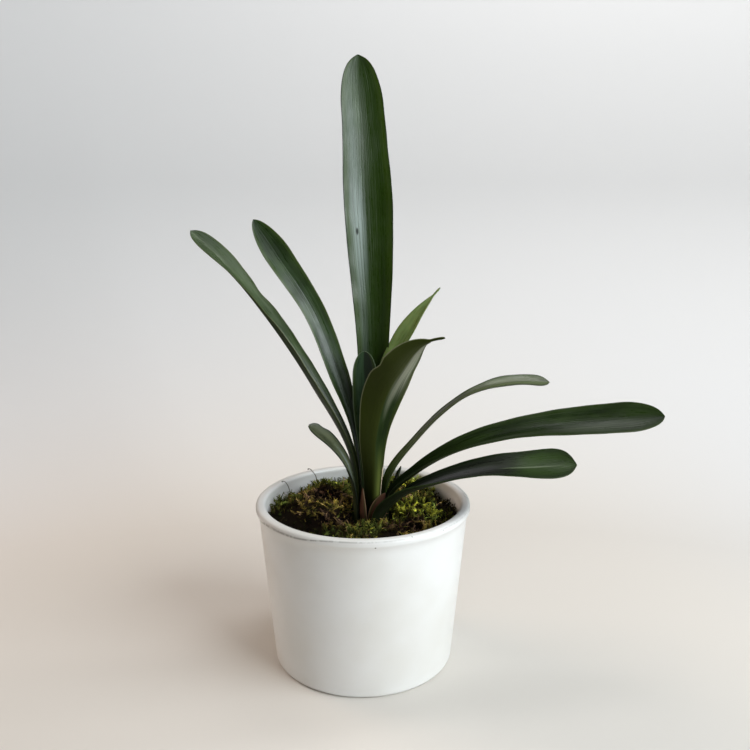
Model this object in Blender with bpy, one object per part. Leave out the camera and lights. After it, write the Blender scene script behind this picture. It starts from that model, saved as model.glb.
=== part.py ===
"""Potted clivia: strap leaves fanning from one crown, in mossy soil, in a white glazed pot.

Blender 4.5, metres, +Z up. The origin is the centre of the pot's flat base, and -Y is the front.
"""

import math
from dataclasses import dataclass

import bmesh
import bpy
import numpy as np

MM = 0.001
GAP = 0.3 * MM  # clearance between pieces that touch on the real plant

# Pot
POT_HEIGHT = 116.0 * MM
POT_BASE_RADIUS = 63.7 * MM
POT_SHOULDER_RADIUS = 73.1 * MM
POT_SHOULDER_HEIGHT = 110.2 * MM
POT_WALL = 4.8 * MM
POT_FLOOR = 6.0 * MM
POT_FOOT_ROUND = 3.0 * MM
POT_INNER_ROUND = 9.0 * MM
RIM_OUTER_RADIUS = 75.0 * MM
RIM_INNER_RADIUS = 68.2 * MM
RIM_ROLL_HEIGHT = 3.2 * MM  # from the roll's widest level up to its top
RIM_START_ANGLE = -35.0  # degrees below that level, where the roll meets the wall
RIM_LEVEL = POT_HEIGHT - RIM_ROLL_HEIGHT
POT_SEGMENTS = 64

# Soil and crown
SOIL_TOP = 101.5 * MM
CROWN_CENTRE = (5.5 * MM, -3.25 * MM)
CROWN_RADIUS = 16.8 * MM
CROWN_BOTTOM = 70.3 * MM
CROWN_TOP = 98.0 * MM
CROWN_SEGMENTS = 32
HOLE_CLEARANCE = 0.6 * MM
HOLE_OVERRUN = 10.0 * MM

# Moss cushions lie on the soil round the crown
MOSS_INNER_RADIUS = 18.6 * MM  # from the crown's centre
MOSS_OUTER_RADIUS = 66.7 * MM  # from the pot's axis
MOSS_EDGE = 1.2 * MM  # height of a cushion's upright edge
MOSS_BASE = 2.5 * MM  # thickness before the mounds are added
MOSS_CORNER_POWER = 5.0  # 2 makes a cushion's outline an ellipse, more squares it
MOSS_RINGS = (0.25, 0.45, 0.62, 0.76, 0.87, 0.95, 1.0)
MOSS_SPOKES = 36
# name, first and last direction round the crown in degrees
MOSS_CUSHIONS = (
    ("moss_left", 118.0, 246.0),
    ("moss_front", 250.0, 313.0),
    ("moss_right", 317.0, 385.0),
    ("moss_back", 389.0, 474.0),
)
# x, y, height, spread of each mound, in millimetres
MOSS_MOUNDS = (
    (-26, 15, 19, 17),
    (-48, -2, 9, 14),
    (-26, -14, 7, 13),
    (-16, -46, 5, 16),
    (12, -46, 6, 14),
    (38, -4, 10, 17),
    (32, -34, 5, 13),
    (0, 46, 10, 18),
    (36, 40, 9, 16),
)

# Leaves stand on the crown
LEAF_FOOT = CROWN_TOP + GAP
LEAF_COLUMNS = 4
LONG_LEAF_ROWS = 22
SHORT_LEAF_ROWS = 13
LONG_LEAF = 110.0 * MM
TIP_ROW_SHARE = 0.36  # share of the rows that the tapered end takes
EDGE_THICKNESS = 0.7 * MM
FOLD_SOFTNESS = 0.25  # width of the rounded bottom of the V, as a share of the half width
FOLD_FADE = 1.5  # how fast the V opens from the foot to the tip
TIP_REACH = 1.1  # length that the crowded rows cover, over the length of the taper
TIP_CROWDING = 1.5  # 1 spaces the rows at the tip evenly, more crowds them to its end
TAIL_END = 2.0 * MM  # length over which a blade's very end narrows to half
THICKEST_SHARE = 0.9  # a blade is never thicker than this share of its half width
SPINE_SAMPLES = 401

SHARP_ANGLE = math.radians(50)
FULL_TURN = math.tau
MERGE_DISTANCE = 0.001 * MM


@dataclass(frozen=True)
class Leaf:
    """One blade. A station is x, y, z and half width in millimetres, and roll in degrees."""

    name: str
    lean: float  # direction in degrees that the leaf's back faces
    tip_length: float
    tip_round: float  # small is blunt, 1 is a straight taper
    tip_power: float
    fold: tuple  # rise of the margins over half width, at the foot and at the tip
    stations: tuple
    thick: tuple = (2.2, 1.1)  # at the midrib, at the foot and at the tip
    tail: float = 0.0  # length of a narrow dried point past the tip
    tail_half_width: float = 0.5
    material: str = "leaf"


FOOT = LEAF_FOOT / MM

LEAVES = (
    Leaf("leaf_tall", 95, 34, 0.55, 2.2, (0.42, 0.2), thick=(2.4, 1.3), stations=(
        (5.5, 9, FOOT, 5.5, 0), (5.5, 12, 151, 7.8, 2), (7, 17, 219, 10.7, 3),
        (3, 22, 322, 16.6, 4), (-1, 24, 387, 14.2, 12), (-3, 24, 415, 13.6, 3))),
    Leaf("leaf_left_outer", 172, 26, 0.6, 2.0, (0.45, 0.25), stations=(
        (-6.3, 2.2, FOOT, 3.4, 0), (-6.8, 2.2, 142.5, 4, -10), (-33, 9, 196.5, 6.5, -18),
        (-61.5, 14, 239.5, 8.5, -12), (-93.5, 20, 277.5, 10, -14), (-118.5, 24, 301, 10.5, -30))),
    Leaf("leaf_left_inner", 160, 30, 0.6, 2.0, (0.45, 0.22), stations=(
        (-1.6, 9.2, FOOT, 3.6, 0), (-6, 13.4, 160.5, 5.8, -8), (-18, 16, 201, 9, -22),
        (-36, 19, 247.5, 10, -24), (-57.5, 24, 281, 11, -30), (-76.5, 28, 308, 10.5, -31))),
    Leaf("leaf_left_low", 192, 18, 0.6, 2.0, (0.35, 0.2), thick=(1.8, 1.1), stations=(
        (-5, -8, FOOT, 3.5, 0), (-6.5, -8.5, 127.5, 4.5, -9), (-11.5, -9, 144, 7, -20),
        (-19.5, -9.5, 156.5, 8.5, -23), (-36.5, -10, 172, 7.5, -35))),
    Leaf("leaf_middle_small", 95, 16, 0.5, 2.2, (0.4, 0.22), thick=(1.8, 1.0), stations=(
        (4.5, 2.2, FOOT, 4.5, 0), (4, 2, 140, 6, 0), (1.5, 2, 187, 8.5, 0),
        (1, 2.5, 220.5, 7.5, 0))),
    Leaf("leaf_front", 285, 30, 0.85, 1.7, (0.5, 0.4), thick=(2.6, 1.4), tail=9, tail_half_width=1,
         stations=(
        (6.5, -7.5, FOOT, 5, 0), (7.5, -9, 133, 6.5, -2), (8.5, -11, 163, 10, 0),
        (16, -15.5, 196, 14.5, -4), (25, -22, 213, 14, 8), (41.5, -31, 233, 11, 12),
        (52.5, -36, 236.5, 6, 14))),
    Leaf("leaf_back_right", 45, 40, 0.8, 1.6, (0.45, 0.2), thick=(1.8, 1.0), tail=6,
         tail_half_width=0.7, stations=(
        (9.5, 4.2, FOOT, 4.2, 0), (11, 5.5, 150, 5.5, 0), (19.5, 8.5, 213.5, 7, 2),
        (35, 15, 240.5, 7, 4), (53.5, 23, 262, 6, 5))),
    Leaf("leaf_right_upper", 15, 18, 0.7, 1.8, (0.4, 0.22), thick=(1.8, 1.0), stations=(
        (14.3, 3.5, FOOT, 3, 0), (17.5, 4.8, 128, 4.4, 6), (42, 9, 158, 4.5, 0),
        (75.5, 15, 187.5, 5, 0), (99.5, 21, 194.5, 6.5, 14), (133.5, 26, 194, 6, 25))),
    Leaf("leaf_right_middle", 0, 34, 0.65, 1.9, (0.45, 0.2), stations=(
        (16.5, -5, FOOT, 3.6, 0), (18.5, -5, 120.5, 4.8, 2), (35.5, -5, 136.5, 6.5, 3),
        (64.5, -6, 154.5, 8.5, 14), (103, -7, 166.5, 11, 20), (158.5, -9, 174, 13.5, 30),
        (204, -12, 179, 12.5, 37))),
    Leaf("leaf_right_low", -30, 24, 0.5, 2.0, (0.45, 0.22), stations=(
        (9.5, -16.4, FOOT, 4.2, 0), (12.5, -17, 110, 6.6, -8), (25.5, -18, 124, 9, 6),
        (49.5, -22, 136, 10, 26), (81.5, -29, 146.5, 12.5, 33), (116, -36, 151, 14, 44),
        (139, -40, 154, 13, 54))),
    Leaf("leaf_stub", 10, 10, 0.8, 1.6, (0.4, 0.3), thick=(1.4, 0.9), stations=(
        (18.8, 3.5, FOOT, 2.6, 0), (21, 4.4, 118, 3.2, 0), (26.5, 4.5, 138, 3, 5))),
    Leaf("sheath_left", 215, 16, 0.8, 1.7, (0.5, 0.5), thick=(1.0, 0.8), material="sheath",
         stations=((0, -12, FOOT, 4.5, 0), (-1, -13, 112, 4, 0), (0, -13, 125, 3, 0))),
    Leaf("sheath_right", 300, 14, 0.7, 1.8, (0.5, 0.5), thick=(1.0, 0.8), material="sheath",
         stations=((7.6, -12.2, FOOT, 4.6, 0), (10, -12.5, 112, 4.8, 0), (15, -11.5, 124, 4, 0))),
)

# name: colour, roughness
FINISHES = {
    "glaze": ((0.78, 0.78, 0.77), 0.38),
    "soil": ((0.035, 0.025, 0.018), 0.95),
    "crown": ((0.22, 0.25, 0.12), 0.6),
    "moss": ((0.16, 0.19, 0.05), 0.95),
    "leaf": ((0.035, 0.075, 0.03), 0.4),
    "sheath": ((0.24, 0.11, 0.06), 0.6),
}


def clear_scene():
    """Removes every object that the file starts with."""
    for existing in list(bpy.data.objects):
        bpy.data.objects.remove(existing, do_unlink=True)


def new_material(name, finish):
    """Makes one piece's own material from a named finish."""
    colour, roughness = FINISHES[finish]
    material = bpy.data.materials.new(name)
    material.use_nodes = True
    shader = material.node_tree.nodes["Principled BSDF"]
    shader.inputs["Base Color"].default_value = (*colour, 1.0)
    shader.inputs["Roughness"].default_value = roughness
    return material


def add_piece(name, shape, finish, parent):
    """Turns a bmesh into a named object with its own material, under the plant's empty."""
    bmesh.ops.recalc_face_normals(shape, faces=shape.faces)
    mesh = bpy.data.meshes.new(name)
    shape.to_mesh(mesh)
    shape.free()
    mesh.shade_smooth()
    mesh.set_sharp_from_angle(angle=SHARP_ANGLE)
    mesh.materials.append(new_material(name, finish))
    piece = bpy.data.objects.new(name, mesh)
    piece.parent = parent
    bpy.context.scene.collection.objects.link(piece)
    return piece


def arc(centre, radii, start, stop, count):
    """Points (r, z) of an elliptic arc, with its angles in degrees."""
    angles = np.radians(np.linspace(start, stop, count))
    return [(centre[0] + radii[0] * math.cos(a), centre[1] + radii[1] * math.sin(a)) for a in angles]


def turned(profile, segments):
    """Spins a profile (r, z) whose ends lie on the axis into a closed body."""
    shape = bmesh.new()
    points = [shape.verts.new((r, 0.0, z)) for r, z in profile]
    edges = [shape.edges.new(pair) for pair in zip(points, points[1:])]
    bmesh.ops.spin(shape, geom=points + edges, cent=(0, 0, 0), axis=(0, 0, 1),
                   angle=FULL_TURN, steps=segments, use_merge=True)
    bmesh.ops.remove_doubles(shape, verts=shape.verts, dist=MERGE_DISTANCE)
    return shape


def outer_radius(height):
    """Radius of the pot's outer wall at a height."""
    share = height / POT_SHOULDER_HEIGHT
    return POT_BASE_RADIUS + (POT_SHOULDER_RADIUS - POT_BASE_RADIUS) * share


def inner_corner(clearance):
    """Rounded corner inside the pot, from the floor up to the wall, moved in by a clearance."""
    centre_height = POT_FLOOR + POT_INNER_ROUND
    centre = (outer_radius(centre_height) - POT_WALL - POT_INNER_ROUND, centre_height)
    reach = POT_INNER_ROUND - clearance
    return arc(centre, (reach, reach), -90, -5, 7)


def build_pot(parent):
    """The pot: a tapered wall, a flat base, and a rounded roll of glaze at the rim."""
    foot = arc((POT_BASE_RADIUS - POT_FOOT_ROUND, POT_FOOT_ROUND),
               (POT_FOOT_ROUND, POT_FOOT_ROUND), -90, 5, 6)
    shoulder = (POT_SHOULDER_RADIUS, POT_SHOULDER_HEIGHT)
    rim_middle = (RIM_OUTER_RADIUS + RIM_INNER_RADIUS) / 2
    rim_half_width = (RIM_OUTER_RADIUS - RIM_INNER_RADIUS) / 2
    roll = arc((rim_middle, RIM_LEVEL), (rim_half_width, RIM_ROLL_HEIGHT), RIM_START_ANGLE, 180, 14)
    profile = [(0, 0), *foot, shoulder, *roll, *reversed(inner_corner(0.0)), (0, POT_FLOOR)]
    return add_piece("pot", turned(profile, POT_SEGMENTS), "glaze", parent)


def inner_radius(height):
    """Radius of the pot's inner wall, a straight taper from the corner up to the rim."""
    corner_radius, corner_height = inner_corner(0.0)[-1]
    share = (height - corner_height) / (RIM_LEVEL - corner_height)
    return corner_radius + (RIM_INNER_RADIUS - corner_radius) * share


def build_soil(parent):
    """The soil that fills the pot, with a plain hole for the crown."""
    wall_top = inner_radius(SOIL_TOP) - GAP
    profile = [(0, POT_FLOOR + GAP), *inner_corner(GAP), (wall_top, SOIL_TOP), (0, SOIL_TOP)]
    soil = add_piece("soil", turned(profile, POT_SEGMENTS), "soil", parent)
    bottom = CROWN_BOTTOM - GAP
    height = SOIL_TOP + HOLE_OVERRUN - bottom
    bpy.ops.mesh.primitive_cylinder_add(
        vertices=CROWN_SEGMENTS, radius=CROWN_RADIUS + HOLE_CLEARANCE, depth=height,
        location=(*CROWN_CENTRE, bottom + height / 2))
    cutter = bpy.context.object
    cutter.name = "hole_cutter"
    cutter.parent = parent
    cutter.hide_render = True
    cutter.display_type = "WIRE"
    hole = soil.modifiers.new("crown hole", "BOOLEAN")
    hole.object = cutter
    hole.operation = "DIFFERENCE"
    hole.solver = "EXACT"
    return soil


def build_crown(parent):
    """The short bulbous stem that the leaves grow from, standing in the soil's hole."""
    swell = CROWN_RADIUS
    height = CROWN_TOP - CROWN_BOTTOM
    profile = [(0, CROWN_BOTTOM), (0.6 * swell, CROWN_BOTTOM),
               (0.86 * swell, CROWN_BOTTOM + 0.12 * height), (swell, CROWN_BOTTOM + 0.38 * height),
               (swell, CROWN_TOP - 0.08 * height), (0.985 * swell, CROWN_TOP), (0, CROWN_TOP)]
    crown = add_piece("crown", turned(profile, CROWN_SEGMENTS), "crown", parent)
    crown.location = (*CROWN_CENTRE, 0.0)
    return crown


def mound_height(x, y):
    """Height of the moss over the soil at a place, from its mounds."""
    height = MOSS_BASE
    for mound_x, mound_y, rise, spread in MOSS_MOUNDS:
        distance_squared = (x / MM - mound_x) ** 2 + (y / MM - mound_y) ** 2
        height += rise * MM * math.exp(-distance_squared / spread ** 2)
    return height


def cushion_place(first, last, ring, spoke_angle):
    """Plan position on a cushion: ring is 0 at its middle and 1 on its outline."""
    across, along = math.cos(spoke_angle), math.sin(spoke_angle)
    power = MOSS_CORNER_POWER
    square = (abs(across) ** power + abs(along) ** power) ** (1 / power)
    across, along = ring * across / square, ring * along / square
    direction = math.radians((first + last) / 2 + across * (last - first) / 2)
    ray_x, ray_y = math.cos(direction), math.sin(direction)
    centre_x, centre_y = CROWN_CENTRE
    towards = centre_x * ray_x + centre_y * ray_y
    wall = math.sqrt(towards ** 2 + MOSS_OUTER_RADIUS ** 2 - centre_x ** 2 - centre_y ** 2) - towards
    reach = MOSS_INNER_RADIUS + (wall - MOSS_INNER_RADIUS) * (along + 1) / 2
    return centre_x + reach * ray_x, centre_y + reach * ray_y


def build_moss(name, first, last, parent):
    """One cushion: a flat underside, a low upright edge and a domed top with mounds."""
    shape = bmesh.new()
    floor = SOIL_TOP + GAP
    x, y = cushion_place(first, last, 0.0, 0.0)
    middle = shape.verts.new((x, y, floor + MOSS_EDGE + mound_height(x, y)))
    angles = [FULL_TURN * spoke / MOSS_SPOKES for spoke in range(MOSS_SPOKES)]
    rings = []
    for ring in MOSS_RINGS:
        dome = math.sqrt(1 - ring ** 4)
        places = [cushion_place(first, last, ring, angle) for angle in angles]
        rings.append([shape.verts.new((x, y, floor + MOSS_EDGE + dome * mound_height(x, y)))
                      for x, y in places])
    rings.append([shape.verts.new((point.co.x, point.co.y, floor)) for point in rings[-1]])
    for step in range(MOSS_SPOKES):
        after = (step + 1) % MOSS_SPOKES
        shape.faces.new((middle, rings[0][step], rings[0][after]))
        for inner, outer in zip(rings, rings[1:]):
            shape.faces.new((inner[step], outer[step], outer[after], inner[after]))
    shape.faces.new(list(reversed(rings[-1])))
    return add_piece(name, shape, "moss", parent)


def smooth_through(keys, values, places):
    """Cubic curve through values at keys, read at places, with slopes from the neighbours."""
    steps = np.diff(keys)
    slopes = np.diff(values, axis=0) / steps[:, None]
    tangents = np.zeros_like(values)
    before, after = steps[:-1, None], steps[1:, None]
    tangents[1:-1] = (slopes[:-1] * after + slopes[1:] * before) / (before + after)
    tangents[0] = 1.5 * slopes[0] - 0.5 * tangents[1]
    tangents[-1] = 1.5 * slopes[-1] - 0.5 * tangents[-2]
    index = np.clip(np.searchsorted(keys, places, side="right") - 1, 0, len(keys) - 2)
    step = steps[index][:, None]
    t = (places - keys[index])[:, None] / step
    return ((2 * t ** 3 - 3 * t ** 2 + 1) * values[index]
            + (t ** 3 - 2 * t ** 2 + t) * step * tangents[index]
            + (3 * t ** 2 - 2 * t ** 3) * values[index + 1]
            + (t ** 3 - t ** 2) * step * tangents[index + 1])


def unit(vectors):
    """Each row of an array, made one long."""
    return vectors / np.linalg.norm(vectors, axis=1)[:, None]


def spine(leaf):
    """Dense samples of a leaf's stations, its distance along the midrib and its frame."""
    stations = np.array(leaf.stations, dtype=float)
    stations[:, :4] *= MM
    chords = np.linalg.norm(np.diff(stations[:, :3], axis=0), axis=1)
    keys = np.concatenate([[0.0], np.cumsum(chords)]) / chords.sum()
    places = np.linspace(0.0, 1.0, SPINE_SAMPLES)
    samples = smooth_through(keys, stations, places)
    points = samples[:, :3]
    travelled = np.concatenate([[0.0], np.cumsum(np.linalg.norm(np.diff(points, axis=0), axis=1))])
    along = unit(np.gradient(points, places, axis=0))
    lean = math.radians(leaf.lean)
    side = np.array([-math.sin(lean), math.cos(lean), 0.0])
    across = np.zeros_like(points)
    for row, direction in enumerate(along):
        side = side - direction * (side @ direction)
        side /= np.linalg.norm(side)
        across[row] = side
    return samples, travelled, along, across


def row_places(leaf, length, rows):
    """Distances of the rows along the midrib, as shares of the length, closer at the tip."""
    tip_rows = round(rows * TIP_ROW_SHARE)
    tip_start = 1 - TIP_REACH * (leaf.tip_length + leaf.tail) * MM / length
    blade = np.linspace(0, tip_start, rows - tip_rows + 1)
    tip = 1 - (1 - tip_start) * (1 - np.linspace(0, 1, tip_rows + 1)[1:]) ** TIP_CROWDING
    return np.concatenate([blade, tip])


def leaf_faces(leaf):
    """Grids of points of a leaf's upper and lower face, rows along it and columns across it."""
    samples, travelled, along, across = spine(leaf)
    length = travelled[-1]
    rows = LONG_LEAF_ROWS if length > LONG_LEAF else SHORT_LEAF_ROWS
    share = row_places(leaf, length, rows)
    distance = share * length
    row_samples = np.stack([np.interp(distance, travelled, values) for values in samples.T], axis=1)
    points, half_width, roll = row_samples[:, :3], row_samples[:, 3], np.radians(row_samples[:, 4])
    forward = unit(np.stack([np.interp(distance, travelled, values) for values in along.T], axis=1))
    side = np.stack([np.interp(distance, travelled, values) for values in across.T], axis=1)
    side = unit(side - forward * np.sum(side * forward, axis=1)[:, None])
    up = np.cross(forward, side)
    cosine, sine = np.cos(roll)[:, None], np.sin(roll)[:, None]
    side, up = cosine * side + sine * up, cosine * up - sine * side

    tip_share = np.clip((distance - length + (leaf.tail + leaf.tip_length) * MM)
                        / (leaf.tip_length * MM), 0, 1)
    taper = (1 - tip_share ** leaf.tip_power) ** leaf.tip_round
    narrowest = leaf.tail_half_width * MM * (1 + np.clip((length - distance) / TAIL_END, 0, 1)) / 2
    half_width = np.maximum(half_width * taper, narrowest)

    column = np.linspace(-1, 1, LEAF_COLUMNS + 1)
    fold = leaf.fold[1] + (leaf.fold[0] - leaf.fold[1]) * (1 - share) ** FOLD_FADE
    lift = (np.sqrt(column ** 2 + FOLD_SOFTNESS ** 2) - FOLD_SOFTNESS) \
        / (math.sqrt(1 + FOLD_SOFTNESS ** 2) - FOLD_SOFTNESS)
    upper = (points[:, None]
             + side[:, None] * (half_width[:, None] * column)[..., None]
             + up[:, None] * (half_width[:, None] * fold[:, None] * lift)[..., None])
    middle = (leaf.thick[1] + (leaf.thick[0] - leaf.thick[1]) * (1 - share) ** 2) * MM
    thickness = EDGE_THICKNESS + (middle[:, None] - EDGE_THICKNESS) * (1 - column ** 2)
    thickness = np.minimum(thickness, np.maximum(EDGE_THICKNESS, THICKEST_SHARE * half_width[:, None]))
    lower = upper - up[:, None] * thickness[..., None]
    upper[0, :, 2] = LEAF_FOOT
    lower[0, :, 2] = LEAF_FOOT
    return upper, lower


def skin(shape, grid):
    """Adds one face of a leaf as triangles, all split along the same diagonal."""
    points = [[shape.verts.new(place) for place in row] for row in grid]
    for row, following in zip(points, points[1:]):
        for column in range(len(row) - 1):
            shape.faces.new((row[column], row[column + 1], following[column + 1]))
            shape.faces.new((row[column], following[column + 1], following[column]))
    return points


def outline(points):
    """The border of a grid of points, in order round it."""
    last = len(points[0]) - 1
    right = [row[last] for row in points]
    left = [row[0] for row in points]
    return points[0][:-1] + right[:-1] + points[-1][:0:-1] + left[:0:-1]


def build_leaf(leaf, parent):
    """One blade: two alike faces, joined round their border."""
    shape = bmesh.new()
    upper, lower = leaf_faces(leaf)
    top = outline(skin(shape, upper))
    bottom = outline(skin(shape, lower))
    for step, point in enumerate(top):
        after = (step + 1) % len(top)
        shape.faces.new((point, top[after], bottom[after]))
        shape.faces.new((point, bottom[after], bottom[step]))
    return add_piece(leaf.name, shape, leaf.material, parent)


def main():
    """Builds the plant from the pot upwards."""
    clear_scene()
    plant = bpy.data.objects.new("potted_clivia", None)
    bpy.context.scene.collection.objects.link(plant)
    build_pot(plant)
    build_soil(plant)
    build_crown(plant)
    for name, first, last in MOSS_CUSHIONS:
        build_moss(name, first, last, plant)
    for leaf in LEAVES:
        build_leaf(leaf, plant)


main()
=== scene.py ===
"""Looks for the potted clivia: glazed pot, soil, moss cushions, strap leaves and dry scales.

Sizes are in millimetres unless a name says otherwise, and MM turns them into metres.
"""

import logging
import math
from collections.abc import Sequence
from dataclasses import dataclass
from enum import IntEnum
from functools import reduce

import bmesh
import bpy
import numpy as np
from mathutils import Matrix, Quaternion, Vector, noise


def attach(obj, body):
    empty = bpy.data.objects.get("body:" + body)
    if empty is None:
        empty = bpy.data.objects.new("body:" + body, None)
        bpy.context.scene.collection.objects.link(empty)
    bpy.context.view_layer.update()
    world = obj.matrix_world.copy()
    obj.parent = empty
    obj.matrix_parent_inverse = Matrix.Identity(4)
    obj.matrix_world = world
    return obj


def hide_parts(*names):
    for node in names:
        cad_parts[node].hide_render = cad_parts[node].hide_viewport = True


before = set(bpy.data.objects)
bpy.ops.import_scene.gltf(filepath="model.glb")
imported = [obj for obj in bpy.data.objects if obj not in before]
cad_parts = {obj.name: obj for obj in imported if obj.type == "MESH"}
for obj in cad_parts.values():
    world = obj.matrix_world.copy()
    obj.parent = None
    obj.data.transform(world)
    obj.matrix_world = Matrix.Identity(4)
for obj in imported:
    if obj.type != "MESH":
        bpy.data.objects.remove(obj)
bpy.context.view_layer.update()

MM = 0.001
ROOT = "root"
LOG = logging.getLogger("potted_clivia")

Colour = tuple[float, float, float]
Pair = tuple[float, float]
Place = tuple[float, float, float]
Station = tuple[float, float, float, float, float]
Array = np.ndarray
Socket = bpy.types.NodeSocket
Value = float | Colour | Socket

MIDDLE: Place = (0.0, 0.0, 0.0)


def deselect() -> None:
    """Leaves nothing selected, so that an operator acts only on its own piece."""
    bpy.ops.object.select_all(action="DESELECT")


def take_up(piece: bpy.types.Object) -> None:
    """Makes a piece the only one selected, and the active one.

    Args:
        piece: The piece.
    """
    deselect()
    piece.select_set(True)
    bpy.context.view_layer.objects.active = piece


def apply_modifiers(piece: bpy.types.Object) -> None:
    """Applies a piece's modifiers in order.

    Args:
        piece: The piece.
    """
    take_up(piece)
    for modifier in list(piece.modifiers):
        bpy.ops.object.modifier_apply(modifier=modifier.name)


def settle(piece: bpy.types.Object, name: str, stands_for: Sequence[str] = ()) -> None:
    """Names a finished piece, puts its place into its mesh and hands it to the frame.

    Args:
        piece: The finished piece.
        name: Its name in the table of pieces.
        stands_for: The CAD nodes that it replaces.
    """
    take_up(piece)
    bpy.ops.object.transform_apply(location=True, rotation=True, scale=True)
    piece.name = name
    piece.data.name = name
    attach(piece, ROOT)
    if stands_for:
        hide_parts(*stands_for)
    LOG.info("%s: %d faces", name, len(piece.data.polygons))


def coordinates(mesh: bpy.types.Mesh) -> Array:
    """Reads where a mesh's vertices are.

    Args:
        mesh: The mesh.

    Returns:
        x, y and z of each vertex, one row each.
    """
    places = np.empty(len(mesh.vertices) * 3)
    mesh.vertices.foreach_get("co", places)
    return places.reshape(-1, 3)


def place_vertices(mesh: bpy.types.Mesh, places: Array) -> None:
    """Moves all the vertices of a mesh to new places."""
    mesh.vertices.foreach_set("co", places.ravel())
    mesh.update()


def lathe(profile: Sequence[Pair], steps: int) -> bpy.types.Object:
    """Turns a profile of radius and height, in millimetres, into a closed body.

    Args:
        profile: Points from the axis round the outside and back to the axis.
        steps: Number of steps of the full turn.

    Returns:
        The body, with its faces pointing out.
    """
    deselect()
    bpy.ops.mesh.primitive_plane_add(size=MM)
    body = bpy.context.object
    bpy.ops.object.mode_set(mode="EDIT")
    bpy.ops.mesh.merge(type="CENTER")
    radius, height = profile[0]
    bpy.ops.transform.translate(value=(radius * MM, 0.0, height * MM))
    for (radius, height), (next_radius, next_height) in zip(profile, profile[1:]):
        step = ((next_radius - radius) * MM, 0.0, (next_height - height) * MM)
        bpy.ops.mesh.extrude_vertices_move(TRANSFORM_OT_translate={"value": step})
    bpy.ops.mesh.select_all(action="SELECT")
    bpy.ops.mesh.spin(steps=steps, angle=math.tau, center=(0, 0, 0), axis=(0, 0, 1))
    bpy.ops.mesh.select_all(action="SELECT")
    bpy.ops.mesh.remove_doubles(threshold=0.001 * MM)
    bpy.ops.mesh.normals_make_consistent(inside=False)
    bpy.ops.object.mode_set(mode="OBJECT")
    return body


def elliptic_arc(centre: Pair, radii: Pair, start: float, stop: float, count: int,
                 power: float = 2.0) -> list[Pair]:
    """Points of an arc in a profile.

    Args:
        centre: Middle of the ellipse.
        radii: Its two radii.
        start: Angle of the first point, in degrees.
        stop: Angle of the last point.
        count: Number of points.
        power: 2 for an ellipse, more for squarer corners.

    Returns:
        The points.
    """
    angles = np.radians(np.linspace(start, stop, count))
    turns = np.stack([np.cos(angles), np.sin(angles)], axis=1)
    turns = np.sign(turns) * np.abs(turns) ** (2.0 / power)
    return [(float(x), float(z)) for x, z in np.array(centre) + np.array(radii) * turns]


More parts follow.
